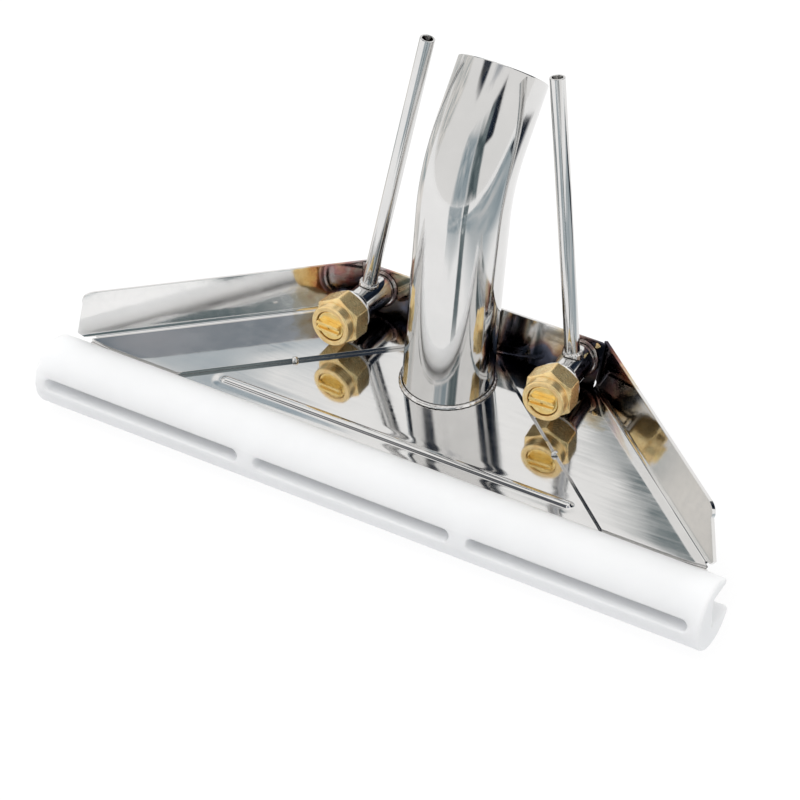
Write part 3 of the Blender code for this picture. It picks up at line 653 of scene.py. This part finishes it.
def build_top_plate(material):
    near, close = 7 * MM, 3 * MM
    stops = [LIP_Y, RIB_Y - near, SHOULDER_Y, RIB_Y - close, RIB_Y + close, RIB_Y + near, PLATE_BACK_Y]
    lines = stepped(stops, [3 * MM, 0.5 * MM, 0.4 * MM, 0.2 * MM, 0.4 * MM, 4 * MM])
    rib_end = RIB_HALF / plate_half(RIB_Y)
    across = stepped([0, rib_end - 0.05, rib_end + 0.06, 1], [0.1, 0.0025, 0.05])
    across = [-share for share in across[:0:-1]] + across
    top = [[(share * plate_half(y), y, rib_height(share * plate_half(y), y)) for share in across]
           for y in lines]
    rows = [[(x, y, z - SHEET) for x, y, z in row] for row in top[::-1]]
    mesh = loft(top + rows, wrap_rows=True, wrap_columns=False)
    edited(mesh, lambda shape: bmesh.ops.holes_fill(
        shape, edges=[edge for edge in shape.edges if edge.is_boundary]))
    hole = loft([tube_ring(length, TUBE_RADIUS + GAP) for length in (-20 * MM, 20 * MM)], cap=True)
    piece("top_plate_sheet", carved(mesh, [hole]), material, "top_plate", angle=40)


def wing_section():
    """Upper face of a wing across its fold: (x past the fold line at y = 0, height) from seam to wall top."""
    flare = WALL_FLARE / WALL_HEIGHT
    fold_x = FOLD_X + flare * LAP_Z
    wall_angle = math.atan2(1, flare)
    cut = FOLD_RADIUS * math.tan(wall_angle / 2)
    section = [(SEAM_X + (fold_x - cut - SEAM_X) * share, LAP_Z) for share in (0, 0.25, 0.5, 0.75, 1.0)]
    fold = 10
    for step in range(1, fold):
        turn = wall_angle * step / fold
        section.append((fold_x - cut + FOLD_RADIUS * math.sin(turn),
                        LAP_Z + FOLD_RADIUS * (1 - math.cos(turn))))
    heights = [LAP_Z + cut * math.sin(wall_angle), WALL_KNEE_HEIGHT, 6 * MM, 10 * MM,
               WALL_HEIGHT - WALL_CORNER]
    heights += [WALL_HEIGHT - WALL_CORNER * (1 - math.sin(turn)) for turn in quarter(8)[1:]]
    section += [(FOLD_X + flare * height, height) for height in heights]
    return section, 5, 4 + fold


def wing_front(label, offset, height, on_wall, in_fold):
    """Y where the wing stops at the front."""
    foot_y, knee_y, top_y = WALL_FRONTS[label]
    if in_fold and height < FOLD_CUT_HEIGHT:
        return FOLD_FRONT_Y
    if not on_wall and not in_fold:
        return max(LAP_FRONT_Y, (offset - MOUTH_HALF) / SIDE_SLOPE)
    if height <= WALL_KNEE_HEIGHT:
        return foot_y + (knee_y - foot_y) * (height - LAP_Z) / (WALL_KNEE_HEIGHT - LAP_Z)
    shoulder = WALL_HEIGHT - WALL_CORNER
    if height <= shoulder:
        return knee_y + (top_y - knee_y) * (height - WALL_KNEE_HEIGHT) / (shoulder - WALL_KNEE_HEIGHT)
    rise = (height - shoulder) / WALL_CORNER
    return top_y + WALL_CORNER * (1 - math.sqrt(max(1 - rise * rise, 0)))


def face_upward(shape):
    """Turn all faces over if the lowest one looks down."""
    lowest = min(shape.faces, key=lambda face: face.calc_center_median().z)
    if lowest.normal.z < 0:
        bmesh.ops.reverse_faces(shape, faces=shape.faces)


def build_wing(label, side, material):
    """Flange that laps the top plate, the fold, and the side wall."""
    section, fold_start, fold_end = wing_section()
    columns = 24
    rows = []
    for index, (offset, height) in enumerate(section):
        on_wall = index >= fold_end
        in_fold = fold_start <= index < fold_end
        front = wing_front(label, offset, height, on_wall, in_fold)
        back = PLATE_BACK_Y if not on_wall else WALL_WRAP_Y + BACK_LEAN * height / WALL_HEIGHT
        if in_fold:
            share = (index - fold_start + 1) / (fold_end - fold_start + 1)
            back = PLATE_BACK_Y + (WALL_WRAP_Y - PLATE_BACK_Y) * share
        rows.append([(side * side_x(offset, y), y, height) for y in evenly(front, back, columns)])
    mesh = edited(finished(loft(rows, wrap_columns=False)), face_upward)
    piece(f"{label}_wing_sheet", sheet_below(mesh), material,
          f"{label}_wing_plate", angle=30, weighted=True)


def sheet_below(mesh):
    """An upper face made into a sheet below it, with its edges broken."""
    body = placed("sheet", mesh)
    thicken = body.modifiers.new("sheet", "SOLIDIFY")
    thicken.thickness = SHEET
    thicken.offset = -1
    thicken.use_even_offset = True
    soften(body, 0.25 * MM, 2, 50)
    return worked(body)


def build_back_wall(material):
    """Leaning wall across the back, with the holes that the jets pass through."""
    length = (WALL_HEIGHT - GAP) / math.cos(BACK_ANGLE)
    rows = []
    for depth in (-SHEET, 0):
        reach = BACK_MITRE * (1 + depth / SHEET)
        low, high = BACK_HALF_LOW + reach, BACK_HALF_HIGH + reach
        rows.append([(-low, 0, depth), (low, 0, depth), (high, length, depth), (-high, length, depth)])
    mesh = loft(rows, cap=True)
    mesh.transform(BACK_FRAME)
    cuts = []
    for _, side in SIDES:
        hole = rod(BOSS_RADIUS + GAP, 0, BOSS_BACK * 1.3)
        hole.transform(jet_frame(side))
        cuts.append(hole)
    piece("back_wall_sheet", carved(mesh, cuts, 0.25 * MM, 2), material,
          "back_wall", angle=30, weighted=True)


def pan_floor(y):
    share = (y - PAN_NECK_Y) / (PAN_FLAT_Y - PAN_NECK_Y)
    return MOUTH_LOW_Z + (-HEAD_Z - MOUTH_LOW_Z) * min(max(share, 0), 1)


def pan_block(margin, lift, front_y, back_y, top, fold=0.0):
    """Block under the top plates, shrunk by margin at its sides and raised by lift at its floor."""
    edge = FOLD_X - inset(margin)
    mouth = MOUTH_HALF - margin
    shoulder_y = (edge - mouth) / SIDE_SLOPE
    corners = [(mouth, front_y), (mouth, shoulder_y)]
    corners += [(side_x(edge, y), y) for y in (PAN_NECK_Y + 1 * MM, PAN_FLAT_Y, back_y)]
    rows = []
    for x, y in corners:
        low = pan_floor(y) + lift
        rows.append(rounded([(-x, y, top), (-x, y, low), (x, y, low), (x, y, top)], [0, fold, fold, 0], 5))
    return loft(rows, cap=True)


def build_pan(material):
    top = -SHEET - GAP
    body = pan_block(0, 0, LIP_Y, BACK_Y, top, 2.5 * MM)
    hollow = pan_block(SHEET, SHEET, LIP_Y - 10 * MM, BACK_Y - SHEET, top + 10 * MM, 1.2 * MM)
    piece("chamber_pan_sheet", carved(body, [hollow]), material,
          "chamber_pan", angle=30, weighted=True)


# ---- tubes

def tube_ring(length, radius):
    at = tube_point(length)
    return [at @ Vector(point) for point in circle(radius, 0, 96)]


def build_vacuum_tube(material):
    """Thin-walled tube: leaning stretch, bend, short straight end, with its foot cut level with the plate."""
    bend_end = TUBE_STRAIGHT + TUBE_BEND_RADIUS * TUBE_BEND
    end = bend_end + TUBE_TOP
    foot, lip = -6 * MM, 0.5 * MM
    lengths = [foot, 0, TUBE_STRAIGHT / 2, TUBE_STRAIGHT]
    lengths += evenly(TUBE_STRAIGHT, bend_end, 40)[1:] + [end - lip]
    rows = [tube_ring(length, TUBE_RADIUS) for length in lengths]
    rows += [tube_ring(end - lip * (1 - math.sin(turn)), TUBE_RADIUS - lip * (1 - math.cos(turn)))
             for turn in quarter(3)[1:]]
    rows += [tube_ring(end, TUBE_RADIUS - TUBE_WALL)]
    rows += [tube_ring(length, TUBE_RADIUS - TUBE_WALL) for length in lengths[::-1]]
    body = loft(rows, wrap_rows=True)
    past = 3 * TUBE_RADIUS
    trim = prism([(-past, -past), (past, -past), (past, past), (-past, past)], -past, -SHEET)
    piece("vacuum_tube_wall", carved(body, [trim]), material, "vacuum_tube", angle=30)


def crown(inner, width, base, rise, turns, share=1.0):
    """The rounded top of a bead, as rows for bead_ring."""
    return [(inner + width * math.sin(turn), base + rise * math.cos(turn), share) for turn in turns]


def bead_ring(rows, sides, ripple, count, shift=0.0):
    """A closed bead from rows of (radius, z, share of the ripple), rippled count times round it."""
    made = []
    for radius, z, share in rows:
        ring = []
        for index in range(sides):
            turn = math.tau * index / sides
            swell = share * ripple * (abs(math.sin(turn * count / 2 + shift)) - 0.5)
            swell += share * ripple * 0.5 * math.sin(turn * 3 + shift * 2)
            ring.append(polar(radius + swell, turn, z + swell * 0.4))
        made.append(ring)
    return loft(made, wrap_rows=True)


def build_foot_weld(material):
    """Low bead round the foot of the vacuum tube."""
    inner, outer, rise = TUBE_RADIUS + GAP, 20.4 * MM, 0.9 * MM
    rows = [(inner, GAP, 0), (inner, GAP + rise + 0.1 * MM, 0)]
    rows += crown(inner, outer - inner, GAP, rise, quarter(6))
    rows.append((outer - 0.2 * MM, GAP, 0))
    mesh = bead_ring(rows, 192, 0.12 * MM, 46)
    for vert in mesh.vertices:
        vert.co.y = vert.co.y / math.cos(TUBE_LEAN) + vert.co.z * math.tan(TUBE_LEAN)
    piece("tube_foot_bead", mesh, material, "tube_foot_weld", angle=60)


def solution_frame(side):
    """Frame at the foot of a solution tube, local Z along it, and its length."""
    foot, top = mirrored(SOLUTION_FOOT, side), mirrored(SOLUTION_TOP, side)
    turn = Vector((0, 0, 1)).rotation_difference((top - foot).normalized())
    return Matrix.Translation(foot) @ turn.to_matrix().to_4x4(), (top - foot).length


def build_solution_tube(label, side, steel, weld):
    at, length = solution_frame(side)
    inner = SOLUTION_RADIUS - SOLUTION_WALL
    outline = rounded([(SOLUTION_RADIUS, 0), (SOLUTION_RADIUS, length), (inner, length), (inner, 0)],
                      [0, 0.25 * MM, 0.25 * MM, 0], 3)
    piece(f"{label}_solution_pipe", turned(outline, 64), steel,
          f"{label}_solution_tube", at, 30)
    inner, width, drop = SOLUTION_RADIUS + 0.05 * MM, 0.95 * MM, -2.6 * MM
    rows = [(inner, drop, 0), (inner, 0.8 * MM, 0)]
    rows += crown(inner, width, -0.4 * MM, 1.1 * MM, quarter(5))
    rows.append((inner + width, drop, 0))
    saddle = bead_ring(rows, 96, 0.14 * MM, 16, side * 0.7)
    saddle.transform(at)
    boss = rod(BOSS_RADIUS + GAP, 0, BOSS_BACK)
    boss.transform(jet_frame(side))
    piece(f"{label}_saddle_bead", carved(saddle, [boss]), weld, f"{label}_tube_weld", angle=60)


# ---- spray jets

def jet_frame(side):
    """Frame of a jet in the head frame, its +Z along the spray."""
    forward = Vector((side * math.sin(JET_YAW) * math.cos(JET_PITCH),
                      -math.cos(JET_YAW) * math.cos(JET_PITCH), math.sin(JET_PITCH)))
    level = Vector((0, 0, 1)).cross(forward).normalized()
    turn = Matrix((level, forward.cross(level), forward)).transposed()
    return Matrix.Translation(mirrored(JET_TIP, side)) @ turn.to_4x4()


def threaded(profile, sides, thread_low, thread_high, depth):
    """A turned part whose rows between two heights carry a screw thread cut into the radius."""
    rows = []
    for radius, z in profile:
        ring = []
        for index in range(sides):
            share = index / sides
            cut = 0.0
            if thread_low <= z <= thread_high:
                phase = (z / THREAD_PITCH - share) % 1.0
                cut = depth * abs(phase - 0.5) * 2
            ring.append(polar(radius - cut, math.tau * share, z))
        rows.append(ring)
    return finished(loft(rows, wrap_rows=profile[0][0] != 0))


def build_jet_body(label, side, steel, weld):
    """Boss welded through the back wall, with a shoulder, a threaded nose and the bores inside."""
    shoulder = WASHER_BACK - GAP
    bores = [(0, BORE_END), (VALVE_BORE, BORE_END), (VALVE_BORE, SEAT_BACK), (SEAT_RADIUS, SEAT_BACK),
             (SEAT_RADIUS, SEAT_FRONT), (VALVE_BORE, CONE_FRONT), (VALVE_BORE, STRAINER_STEP),
             (STRAINER_BORE, STRAINER_STEP), (STRAINER_BORE, NOSE_FRONT),
             (NOSE_RADIUS - 0.5 * MM, NOSE_FRONT)]
    thread_low, thread_high = shoulder + 0.6 * MM, NOSE_FRONT - 0.4 * MM
    nose = [(NOSE_RADIUS, z) for z in evenly(thread_high, thread_low, 60)]
    barrel = rounded([(NOSE_RADIUS, shoulder + 0.1 * MM), (NOSE_RADIUS, shoulder),
                      (SHOULDER_RADIUS, shoulder), (SHOULDER_RADIUS, SHOULDER_BACK),
                      (BOSS_RADIUS, SHOULDER_BACK), (BOSS_RADIUS, BOSS_BACK), (0, BOSS_BACK)],
                     [0, 0, 0.5 * MM, 0.5 * MM, 0.5 * MM, 0.8 * MM, 0], 4, closed=False)
    mesh = threaded(bores + nose + barrel, 96, thread_low, thread_high, 0.55 * MM)
    mesh.transform(jet_frame(side))
    at = solution_frame(side)[0]
    drill = rod(INLET_RADIUS, -8 * MM, 12 * MM, 32)
    drill.transform(at)
    body = carved(mesh, [drill])
    body.transform(jet_frame(side).inverted())
    piece(f"{label}_jet_barrel", body, steel, f"{label}_jet_body", jet_frame(side), 30)
    to_wall = BACK_FRAME.inverted() @ jet_frame(side)
    heading = to_wall.to_3x3() @ Vector((0, 0, 1))
    crossing = to_wall.translation - heading * to_wall.translation.z / heading.z
    inner = BOSS_RADIUS + 0.2 * MM
    rows = [(inner, GAP, 0), (inner, 1.0 * MM, 0)]
    rows += crown(inner, 1.1 * MM, GAP, 0.75 * MM, (0.3, 0.7, 1.1, 1.5), 0.6)
    # The boss bead takes the darkened weld, which paints in the shade of the ring round the boss
    piece(f"{label}_boss_bead", bead_ring(rows, 96, 0.16 * MM, 20), weld,
          f"{label}_boss_weld", BACK_FRAME @ Matrix.Translation((crossing.x, crossing.y, 0)), 60)


def build_check_spring(label, side, material):
    """Coil between the check ball and the strainer, which shortens as the ball lifts."""
    per_turn, sides = 32, 12
    low, high = BALL_FRONT + GAP, STRAINER_BACK - GAP
    wire = circle(COIL_WIRE, 0, sides)
    rows = []
    for step, middle in enumerate(evenly(low + COIL_WIRE, high - COIL_WIRE, COIL_TURNS * per_turn)):
        turn = math.tau * step / per_turn
        rows.append([polar(COIL_RADIUS + out, turn, middle + up) for out, up, _ in wire])
    coil = piece(f"{label}_check_coil", loft(rows, cap=True), material,
                 f"{label}_check_spring", jet_frame(side), 40)
    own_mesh(coil)


def build_washer(label, side, material):
    inner, front = NOSE_RADIUS + GAP, NUT_BACK - GAP
    outline = rounded([(inner, front), (WASHER_RADIUS, front), (WASHER_RADIUS, WASHER_BACK),
                       (inner, WASHER_BACK)], [0.1 * MM, 0.35 * MM, 0.35 * MM, 0.1 * MM], 4)
    piece(f"{label}_seal_washer", turned(outline), material,
          f"{label}_washer", jet_frame(side), 40)


def hexagon(turn, flats, corner_limit):
    """Radius of a hexagon with worn corners at an angle."""
    local = (turn + math.pi / 6) % (math.pi / 3) - math.pi / 6
    radius, worn = flats / 2 / math.cos(local), 0.25 * MM
    over = radius - corner_limit
    return radius if over <= -worn else corner_limit - worn * math.exp(-(over + worn) / worn)


def build_nut(label, side, material):
    """Hexagon nut with cone-cut ends, a round collar in front and a threaded, stepped bore."""
    corner = NUT_FLATS / 2 / math.cos(math.pi / 6)
    hexagon_limit = corner - 0.1 * MM
    fall = NUT_CHAMFER
    reach = fall * 1.3
    cuts = NUT_BACK + reach, COLLAR_BACK - reach
    heights = evenly(NUT_BACK, cuts[0], 10) + evenly(*cuts, 6)[1:-1] + evenly(cuts[1], COLLAR_BACK, 10)
    steps = (-30, -29, -28, -26.5, -24, -20, -13, -5, 5, 13, 20, 24, 26.5, 28, 29)
    turns = [math.radians(60 * face + local) for face in range(6) for local in steps]

    def cone(z):
        inset_z = min(z - NUT_BACK, COLLAR_BACK - z)
        return NUT_FLATS / 2 - 0.1 * MM + max(inset_z, 0) * (corner - NUT_FLATS / 2 + 0.3 * MM) / fall

    def ring(radius_at, z):
        return [polar(radius_at(turn), turn, z) for turn in turns]

    rows = []
    for z in heights:
        rows.append(ring(lambda turn, z=z: min(hexagon(turn, NUT_FLATS, hexagon_limit), cone(z)), z))
    collar = rounded([(COLLAR_RADIUS + 0.4 * MM, COLLAR_BACK), (COLLAR_RADIUS, COLLAR_BACK + 0.3 * MM),
                      (COLLAR_RADIUS, 0), (COLLAR_HOLE, 0), (COLLAR_HOLE, NUT_SHOULDER),
                      (THREAD_RADIUS, NUT_SHOULDER)],
                     [0, 0.2 * MM, 0.8 * MM, 0.35 * MM, 0, 0], 5, closed=False)
    rows += [ring(lambda turn, radius=radius: radius, z) for radius, z in collar]

    def thread(turn, z):
        return THREAD_RADIUS + 0.05 * MM - 0.3 * MM * abs((z / THREAD_PITCH - turn / math.tau) % 1 - 0.5) * 2

    for z in evenly(NUT_SHOULDER - 0.3 * MM, NUT_BACK + 0.6 * MM, 56):
        rows.append(ring(lambda turn, z=z: thread(turn, z), z))
    rows.append(ring(lambda turn: THREAD_RADIUS + 0.3 * MM, NUT_BACK))
    piece(f"{label}_hex_nut", loft(rows, wrap_rows=True), material, f"{label}_nut",
          jet_frame(side), 32, weighted=True, body=f"{label}_nut")


def build_spray_tip(label, side, material):
    """Insert with a flat face, and the slotted bar across it."""
    profile = rounded([(TIP_RADIUS, TIP_FACE), (TIP_RADIUS, FLANGE_FRONT), (FLANGE_RADIUS, FLANGE_FRONT),
                       (FLANGE_RADIUS, FLANGE_BACK), (TIP_BORE, FLANGE_BACK), (TIP_BORE, TIP_BORE_END),
                       (ORIFICE_RADIUS, ORIFICE_BACK), (ORIFICE_RADIUS, TIP_FACE)],
                      [0.45 * MM, 0, 0.1 * MM, 0.1 * MM, 0, 0, 0, 0], 4)
    body = turned(profile, 72)
    length, width = BAR_HALF_LENGTH, BAR_HALF_WIDTH
    outline = rounded([(-length, -width), (length, -width), (length, width), (-length, width)], 0.8 * MM, 4)
    bar = prism(outline, BAR_FOOT, BAR_TOP)
    past, lip = 1 * MM, SLOT_HALF_WIDTH + 0.35 * MM
    section = [(-lip, BAR_TOP + past), (-lip, BAR_TOP), (-SLOT_HALF_WIDTH, SLOT_FLOOR),
               (SLOT_HALF_WIDTH, SLOT_FLOOR), (lip, BAR_TOP), (lip, BAR_TOP + past)]
    slot = loft([[(x, y, z) for y, z in section] for x in (-length - past, length + past)], cap=True)
    drill = rod(ORIFICE_RADIUS, BAR_TOP + past, ORIFICE_BACK - past, 24)
    mesh = carved(body, [slot, drill], 0.18 * MM, 2, [bar])
    piece(f"{label}_spray_insert", mesh, material, f"{label}_spray_tip",
          jet_frame(side), 35, weighted=True, body=f"{label}_tip")


# ---- small welds

def blob(radius, height, seed):
    """A low, uneven drop of weld metal standing on z = 0."""
    shape = bmesh.new()
    bmesh.ops.create_uvsphere(shape, u_segments=32, v_segments=20, radius=1.0)
    for vert in shape.verts:
        x, y, z = vert.co
        swell = 1 + 0.12 * math.sin(3 * math.atan2(y, x) + seed) + 0.08 * math.sin(5 * x + 3 * y + seed)
        vert.co = (x * radius * swell * 0.88, y * radius * swell * 0.88, max(z, 0) * height * 0.95)
    mesh = bpy.data.meshes.new("mesh")
    shape.to_mesh(mesh)
    shape.free()
    return mesh


def build_plate_welds(tack_metal, corner_metal):
    """Tack bead on the step half way along each seam, and the bead in each back corner."""
    tack_y, corner_x, corner_height = -21.2 * MM, 54.5 * MM, 18.9 * MM
    for label, side in SIDES:
        mesh = blob(1.7 * MM, 2.0 * MM, side)
        mesh.transform(Matrix.Translation((side * side_x(SEAM_X, tack_y), tack_y, GAP)))
        piece(f"{label}_seam_bead", mesh, tack_metal, f"{label}_seam_tack", angle=80)
        mesh = blob(1.4 * MM, 1.0 * MM, side * 2)
        up_wall = corner_height / math.cos(BACK_ANGLE)
        mesh.transform(BACK_FRAME @ Matrix.Translation((side * corner_x, up_wall, GAP)))
        piece(f"{label}_corner_bead", mesh, corner_metal, f"{label}_corner_weld", angle=80)


# ---- studio

def card_material(name, stops, stretch, scale):
    """A glowing surface that wanders through a few colours and fades out towards its uneven edges."""
    card = Shader(name, (0, 0, 0), 1.0)
    card.set("Specular IOR Level", 0.0)
    wander = card.noise(card.stretched(stretch), scale, 3.0, 0.5)
    card.link(card.ramp(wander, stops), "Emission Color")
    card.set("Emission Strength", 1.0)
    depth = card.node("Attribute", attribute_name="depth").outputs["Fac"]
    uneven = card.maths("ADD", depth, card.scaled(wander, -0.25, 0.25))
    card.link(card.scaled(uneven, 0.0, 1.0, 0.15, 0.7), "Alpha")
    return card.material


def card(name, steps, point, stops, scale, fade, tall=1.0):
    """A stage card that only reflections see, through point(share up, share over) on a grid.

    It fades over a share of its width, and its pattern is drawn out upwards where tall is below 1.
    """
    shares = evenly(0, 1, steps)
    mesh = loft([[point(up, over) for over in shares] for up in shares], wrap_columns=False)
    depth = mesh.attributes.new("depth", "FLOAT", "POINT")
    for index in range(len(mesh.vertices)):
        up, over = (shares[place] for place in divmod(index, steps + 1))
        depth.data[index].value = min(min(up, 1 - up, over, 1 - over) / fade, 1.0)
    mesh.materials.append(card_material(name, stops, (1, 1, tall), scale))
    made = placed(name, mesh)
    made.visible_camera = False
    made.visible_shadow = False
    made.visible_diffuse = False


def sky_card(name, azimuths, elevations, stops, scale, fade=0.25, slant=0.0, tall=1.0):
    """A far card between two azimuths and two elevations in degrees, slanted by azimuth per elevation."""
    distance = 7.0

    def point(up, over):
        climb = (elevations[1] - elevations[0]) * up
        rise = math.radians(elevations[0] + climb)
        turn = math.radians(azimuths[0] + slant * climb + (azimuths[1] - azimuths[0]) * over)
        return polar(distance * math.cos(rise), turn, distance * math.sin(rise) + HEAD_Z)

    card(name, 24, point, stops, scale, fade, tall)


def near_card(name, corners, stops, scale, fade):
    """A flat card between four corners, the first two below the others."""
    low_left, low_right, high_right, high_left = (Vector(corner) for corner in corners)

    def point(up, over):
        return low_left.lerp(high_left, up).lerp(low_right.lerp(high_right, up), over)

    card(name, 16, point, stops, scale, fade)


def floor_streak(name, azimuths, nearest, stops):
    """A card on the floor that widens away from the head between two azimuths."""
    farthest, height = 6.0, 0.001

    def point(up, over):
        turn = math.radians(azimuths[0] + (azimuths[1] - azimuths[0]) * over)
        return polar(nearest * (farthest / nearest) ** up, turn, height)

    card(name, 16, point, stops, 8.0, 0.15)


def floor_plane(name, mesh, drop, shader):
    made = placed(name, mesh)
    made.location.z = -drop
    made.data.materials.append(shader.material)
    return made


def build_floor():
    """The pale floor that is seen, and a dimmer one that only lights the head from below."""
    reach = 12.0
    mesh = bpy.data.meshes.new("floor")
    mesh.from_pydata([(-reach, -reach, 0), (reach, -reach, 0), (reach, reach, 0), (-reach, reach, 0)], [],
                     [(0, 1, 2, 3)])
    below = mesh.copy()
    floor = Shader("studio_floor", (0.18, 0.18, 0.181), 0.7)
    speckle = floor.noise(floor.place, 30.0, 3.0)
    tones = [(0.3, (0.175, 0.175, 0.176)), (0.7, (0.185, 0.185, 0.186))]
    floor.link(floor.ramp(speckle, tones), "Base Color")
    floor.set("Specular IOR Level", 0.1)
    floor.set("Emission Color", (1, 1, 1, 1))
    floor.set("Emission Strength", 0.84)
    floor_plane("studio_floor", mesh, 0.2 * MM, floor).visible_diffuse = False
    dim = Shader("studio_bounce", (0, 0, 0), 1.0)
    dim.set("Emission Color", (0.78, 0.785, 0.80, 1))
    dim.set("Emission Strength", 1.0)
    bounce = floor_plane("studio_bounce", below, 1.0 * MM, dim)
    bounce.visible_camera = False
    bounce.visible_glossy = False
    bounce.visible_shadow = False


def build_cards():
    """What the polished steel mirrors: a grey-blue room in front, dark corners behind and above."""
    grey_blue = [(0.35, (0.26, 0.33, 0.37)), (0.5, (0.42, 0.48, 0.51)), (0.65, (0.62, 0.64, 0.65))]
    slate = [(0.35, (0.08, 0.11, 0.12)), (0.5, (0.14, 0.18, 0.19)), (0.65, (0.24, 0.28, 0.29))]
    night = [(0.38, (0.005, 0.008, 0.014)), (0.55, (0.02, 0.03, 0.05)), (0.68, (0.10, 0.10, 0.10))]
    mauve = [(0.36, (0.18, 0.22, 0.26)), (0.5, (0.32, 0.36, 0.40)), (0.64, (0.56, 0.53, 0.55))]
    blue = [(0.36, (0.18, 0.24, 0.28)), (0.5, (0.34, 0.41, 0.46)), (0.64, (0.62, 0.64, 0.65))]
    pale = [(0.36, (0.34, 0.42, 0.44)), (0.48, (0.68, 0.67, 0.65)), (0.6, (0.92, 0.89, 0.85))]
    sky_card("front_room", (-98, -60), (-6, 50), grey_blue, 1.2, tall=0.2)
    sky_card("front_post", (-66, -40), (-6, 50), slate, 1.2, tall=0.2)
    sky_card("left_seam_dark", (-52, -26), (28, 50), night, 0.5, 0.2)
    sky_card("right_seam_dark", (144, 172), (33, 50), night, 0.5, 0.2)
    sky_card("dark_behind", (16, 90), (8, 60), night, 0.4, 0.12)
    sky_card("dark_door", (104, 121.9), (30, 48), slate, 0.8, 0.05, -0.72)
    sky_card("blue_behind", (124.5, 144), (28, 46), blue, 1.5, 0.12)
    sky_card("dark_above", (-168, -102), (50, 80), night, 0.6)
    sky_card("mauve_above", (-95, 15), (56, 79), mauve, 3.2, 0.35)
    sky_card("blue_band", (121.2, 127), (33, 38.0), blue, 2.5, 0.06)
    sky_card("pale_left", (158, 202), (0, 36), pale, 4.0, tall=0.4)
    floor_streak("grey_streak", (-100, -66), 0.22, grey_blue)
    floor_streak("dark_streak", (-66, -54), 0.11, slate)
    floor_streak("left_streak", (126, 176), 0.07, pale)
    near_card("floor_right", [(0.12, -0.75, 0.001), (1.5, -0.75, 0.001), (1.5, 0.45, 0.001),
                              (0.12, 0.21, 0.001)], grey_blue, 3.0, 0.1)
    near_card("floor_dark", [(0.14, 0.16, 0.0015), (1.0, 0.24, 0.0015), (1.0, 0.46, 0.0015),
                             (0.14, 0.27, 0.0015)], night, 4.0, 0.2)


def build_key_light():
    """A soft light from above and to the left, which the steel doesn't mirror."""
    place = Vector((-0.7, -0.4, 2.2))
    data = bpy.data.lights.new("key", "AREA")
    data.shape = "RECTANGLE"
    data.size = data.size_y = 1.4
    data.energy = 16
    made = placed("key", data)
    made.location = place
    made.rotation_euler = (-place).to_track_quat("-Z", "Y").to_euler()
    made.visible_glossy = False


def build_studio():
    build_floor()
    build_cards()
    build_key_light()
    world = bpy.data.worlds.new("studio")
    bpy.context.scene.world = world
    world.use_nodes = True
    back = world.node_tree.nodes["Background"]
    back.inputs["Color"].default_value = (0.97, 0.965, 0.955, 1)
    back.inputs["Strength"].default_value = 0.95


def build_camera():
    data = bpy.data.cameras.new("camera")
    data.lens = CAMERA_LENS
    data.sensor_width = 36.0
    data.clip_start = 0.05
    data.clip_end = 50.0
    made = placed("camera", data)
    made.location = CAMERA_PLACE
    made.rotation_euler = [math.radians(angle) for angle in CAMERA_TURN]
    bpy.context.scene.camera = made


# ---- the whole

def build():
    corners = [Vector((side * x, y, z)) * MM for side in (-1, 1) for x, y, z in
               ((60.0, 18.0, 15.0), (54.2, 27.5, 16.0))]
    # Points along the inside corner at the back wall's foot, where the plate steel gets painted shade
    crevices = [Vector((side * x, y, z)) * MM for side in (-1, 1) for x, y, z in
                ((20.0, 25.0, 2.0), (30.0, 24.0, 3.0), (40.0, 22.0, 3.0), (48.0, 22.0, 5.0),
                 (55.0, 22.0, 8.0))]
    crevices.append(Vector((56.5, 26.0, 15.0)) * MM)
    plate = steel_material("plate_steel", (30.0, 500.0, 500.0), 0.81, corners, crevices)
    tube = steel_material("tube_steel", (500.0, 500.0, 30.0), 0.71)
    barrel = steel_material("barrel_steel", (200.0, 200.0, 1600.0), 0.74)
    silver = weld_material("weld_silver", (0.86, 0.85, 0.84), (0.78, 0.76, 0.74), (0.60, 0.57, 0.55))
    # Heat-tinted weld for the jet bosses, darkened further as painted shade for the dark ring round each boss
    # at the back wall
    burnt = weld_material("weld_burnt_and_painted_shade", (0.62, 0.56, 0.52), (0.30, 0.20, 0.18), (0.10, 0.09, 0.11))
    gold = weld_material("weld_gold", (0.90, 0.74, 0.42), (0.78, 0.52, 0.25), (0.40, 0.22, 0.16))
    nut = brass_material("nut_brass", (0.90, 0.61, 0.27), (1.0, 0.79, 0.41), 0.25, 0.82)
    tip = brass_material("tip_brass", (0.95, 0.66, 0.22), (1.0, 0.80, 0.38), 0.2, 0.85)
    inner = inner_material()
    washer = washer_material()
    build_glide(glide_material())
    build_top_plate(plate)
    build_back_wall(plate)
    build_pan(plate)
    build_vacuum_tube(tube)
    build_foot_weld(silver)
    build_plate_welds(silver, gold)
    for label, side in SIDES:
        build_wing(label, side, plate)
        build_jet_body(label, side, barrel, burnt)
        build_check_spring(label, side, inner)
        build_washer(label, side, washer)
        build_nut(label, side, nut)
        build_spray_tip(label, side, tip)
        build_solution_tube(label, side, tube, silver)
    for name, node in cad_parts.items():
        if any(word in name for word in ("check", "strainer", "spacer", "divider")):
            node.data.materials.clear()
            node.data.materials.append(inner)


bpy.context.scene.view_settings.view_transform = "Standard"
build()
build_studio()
build_camera()
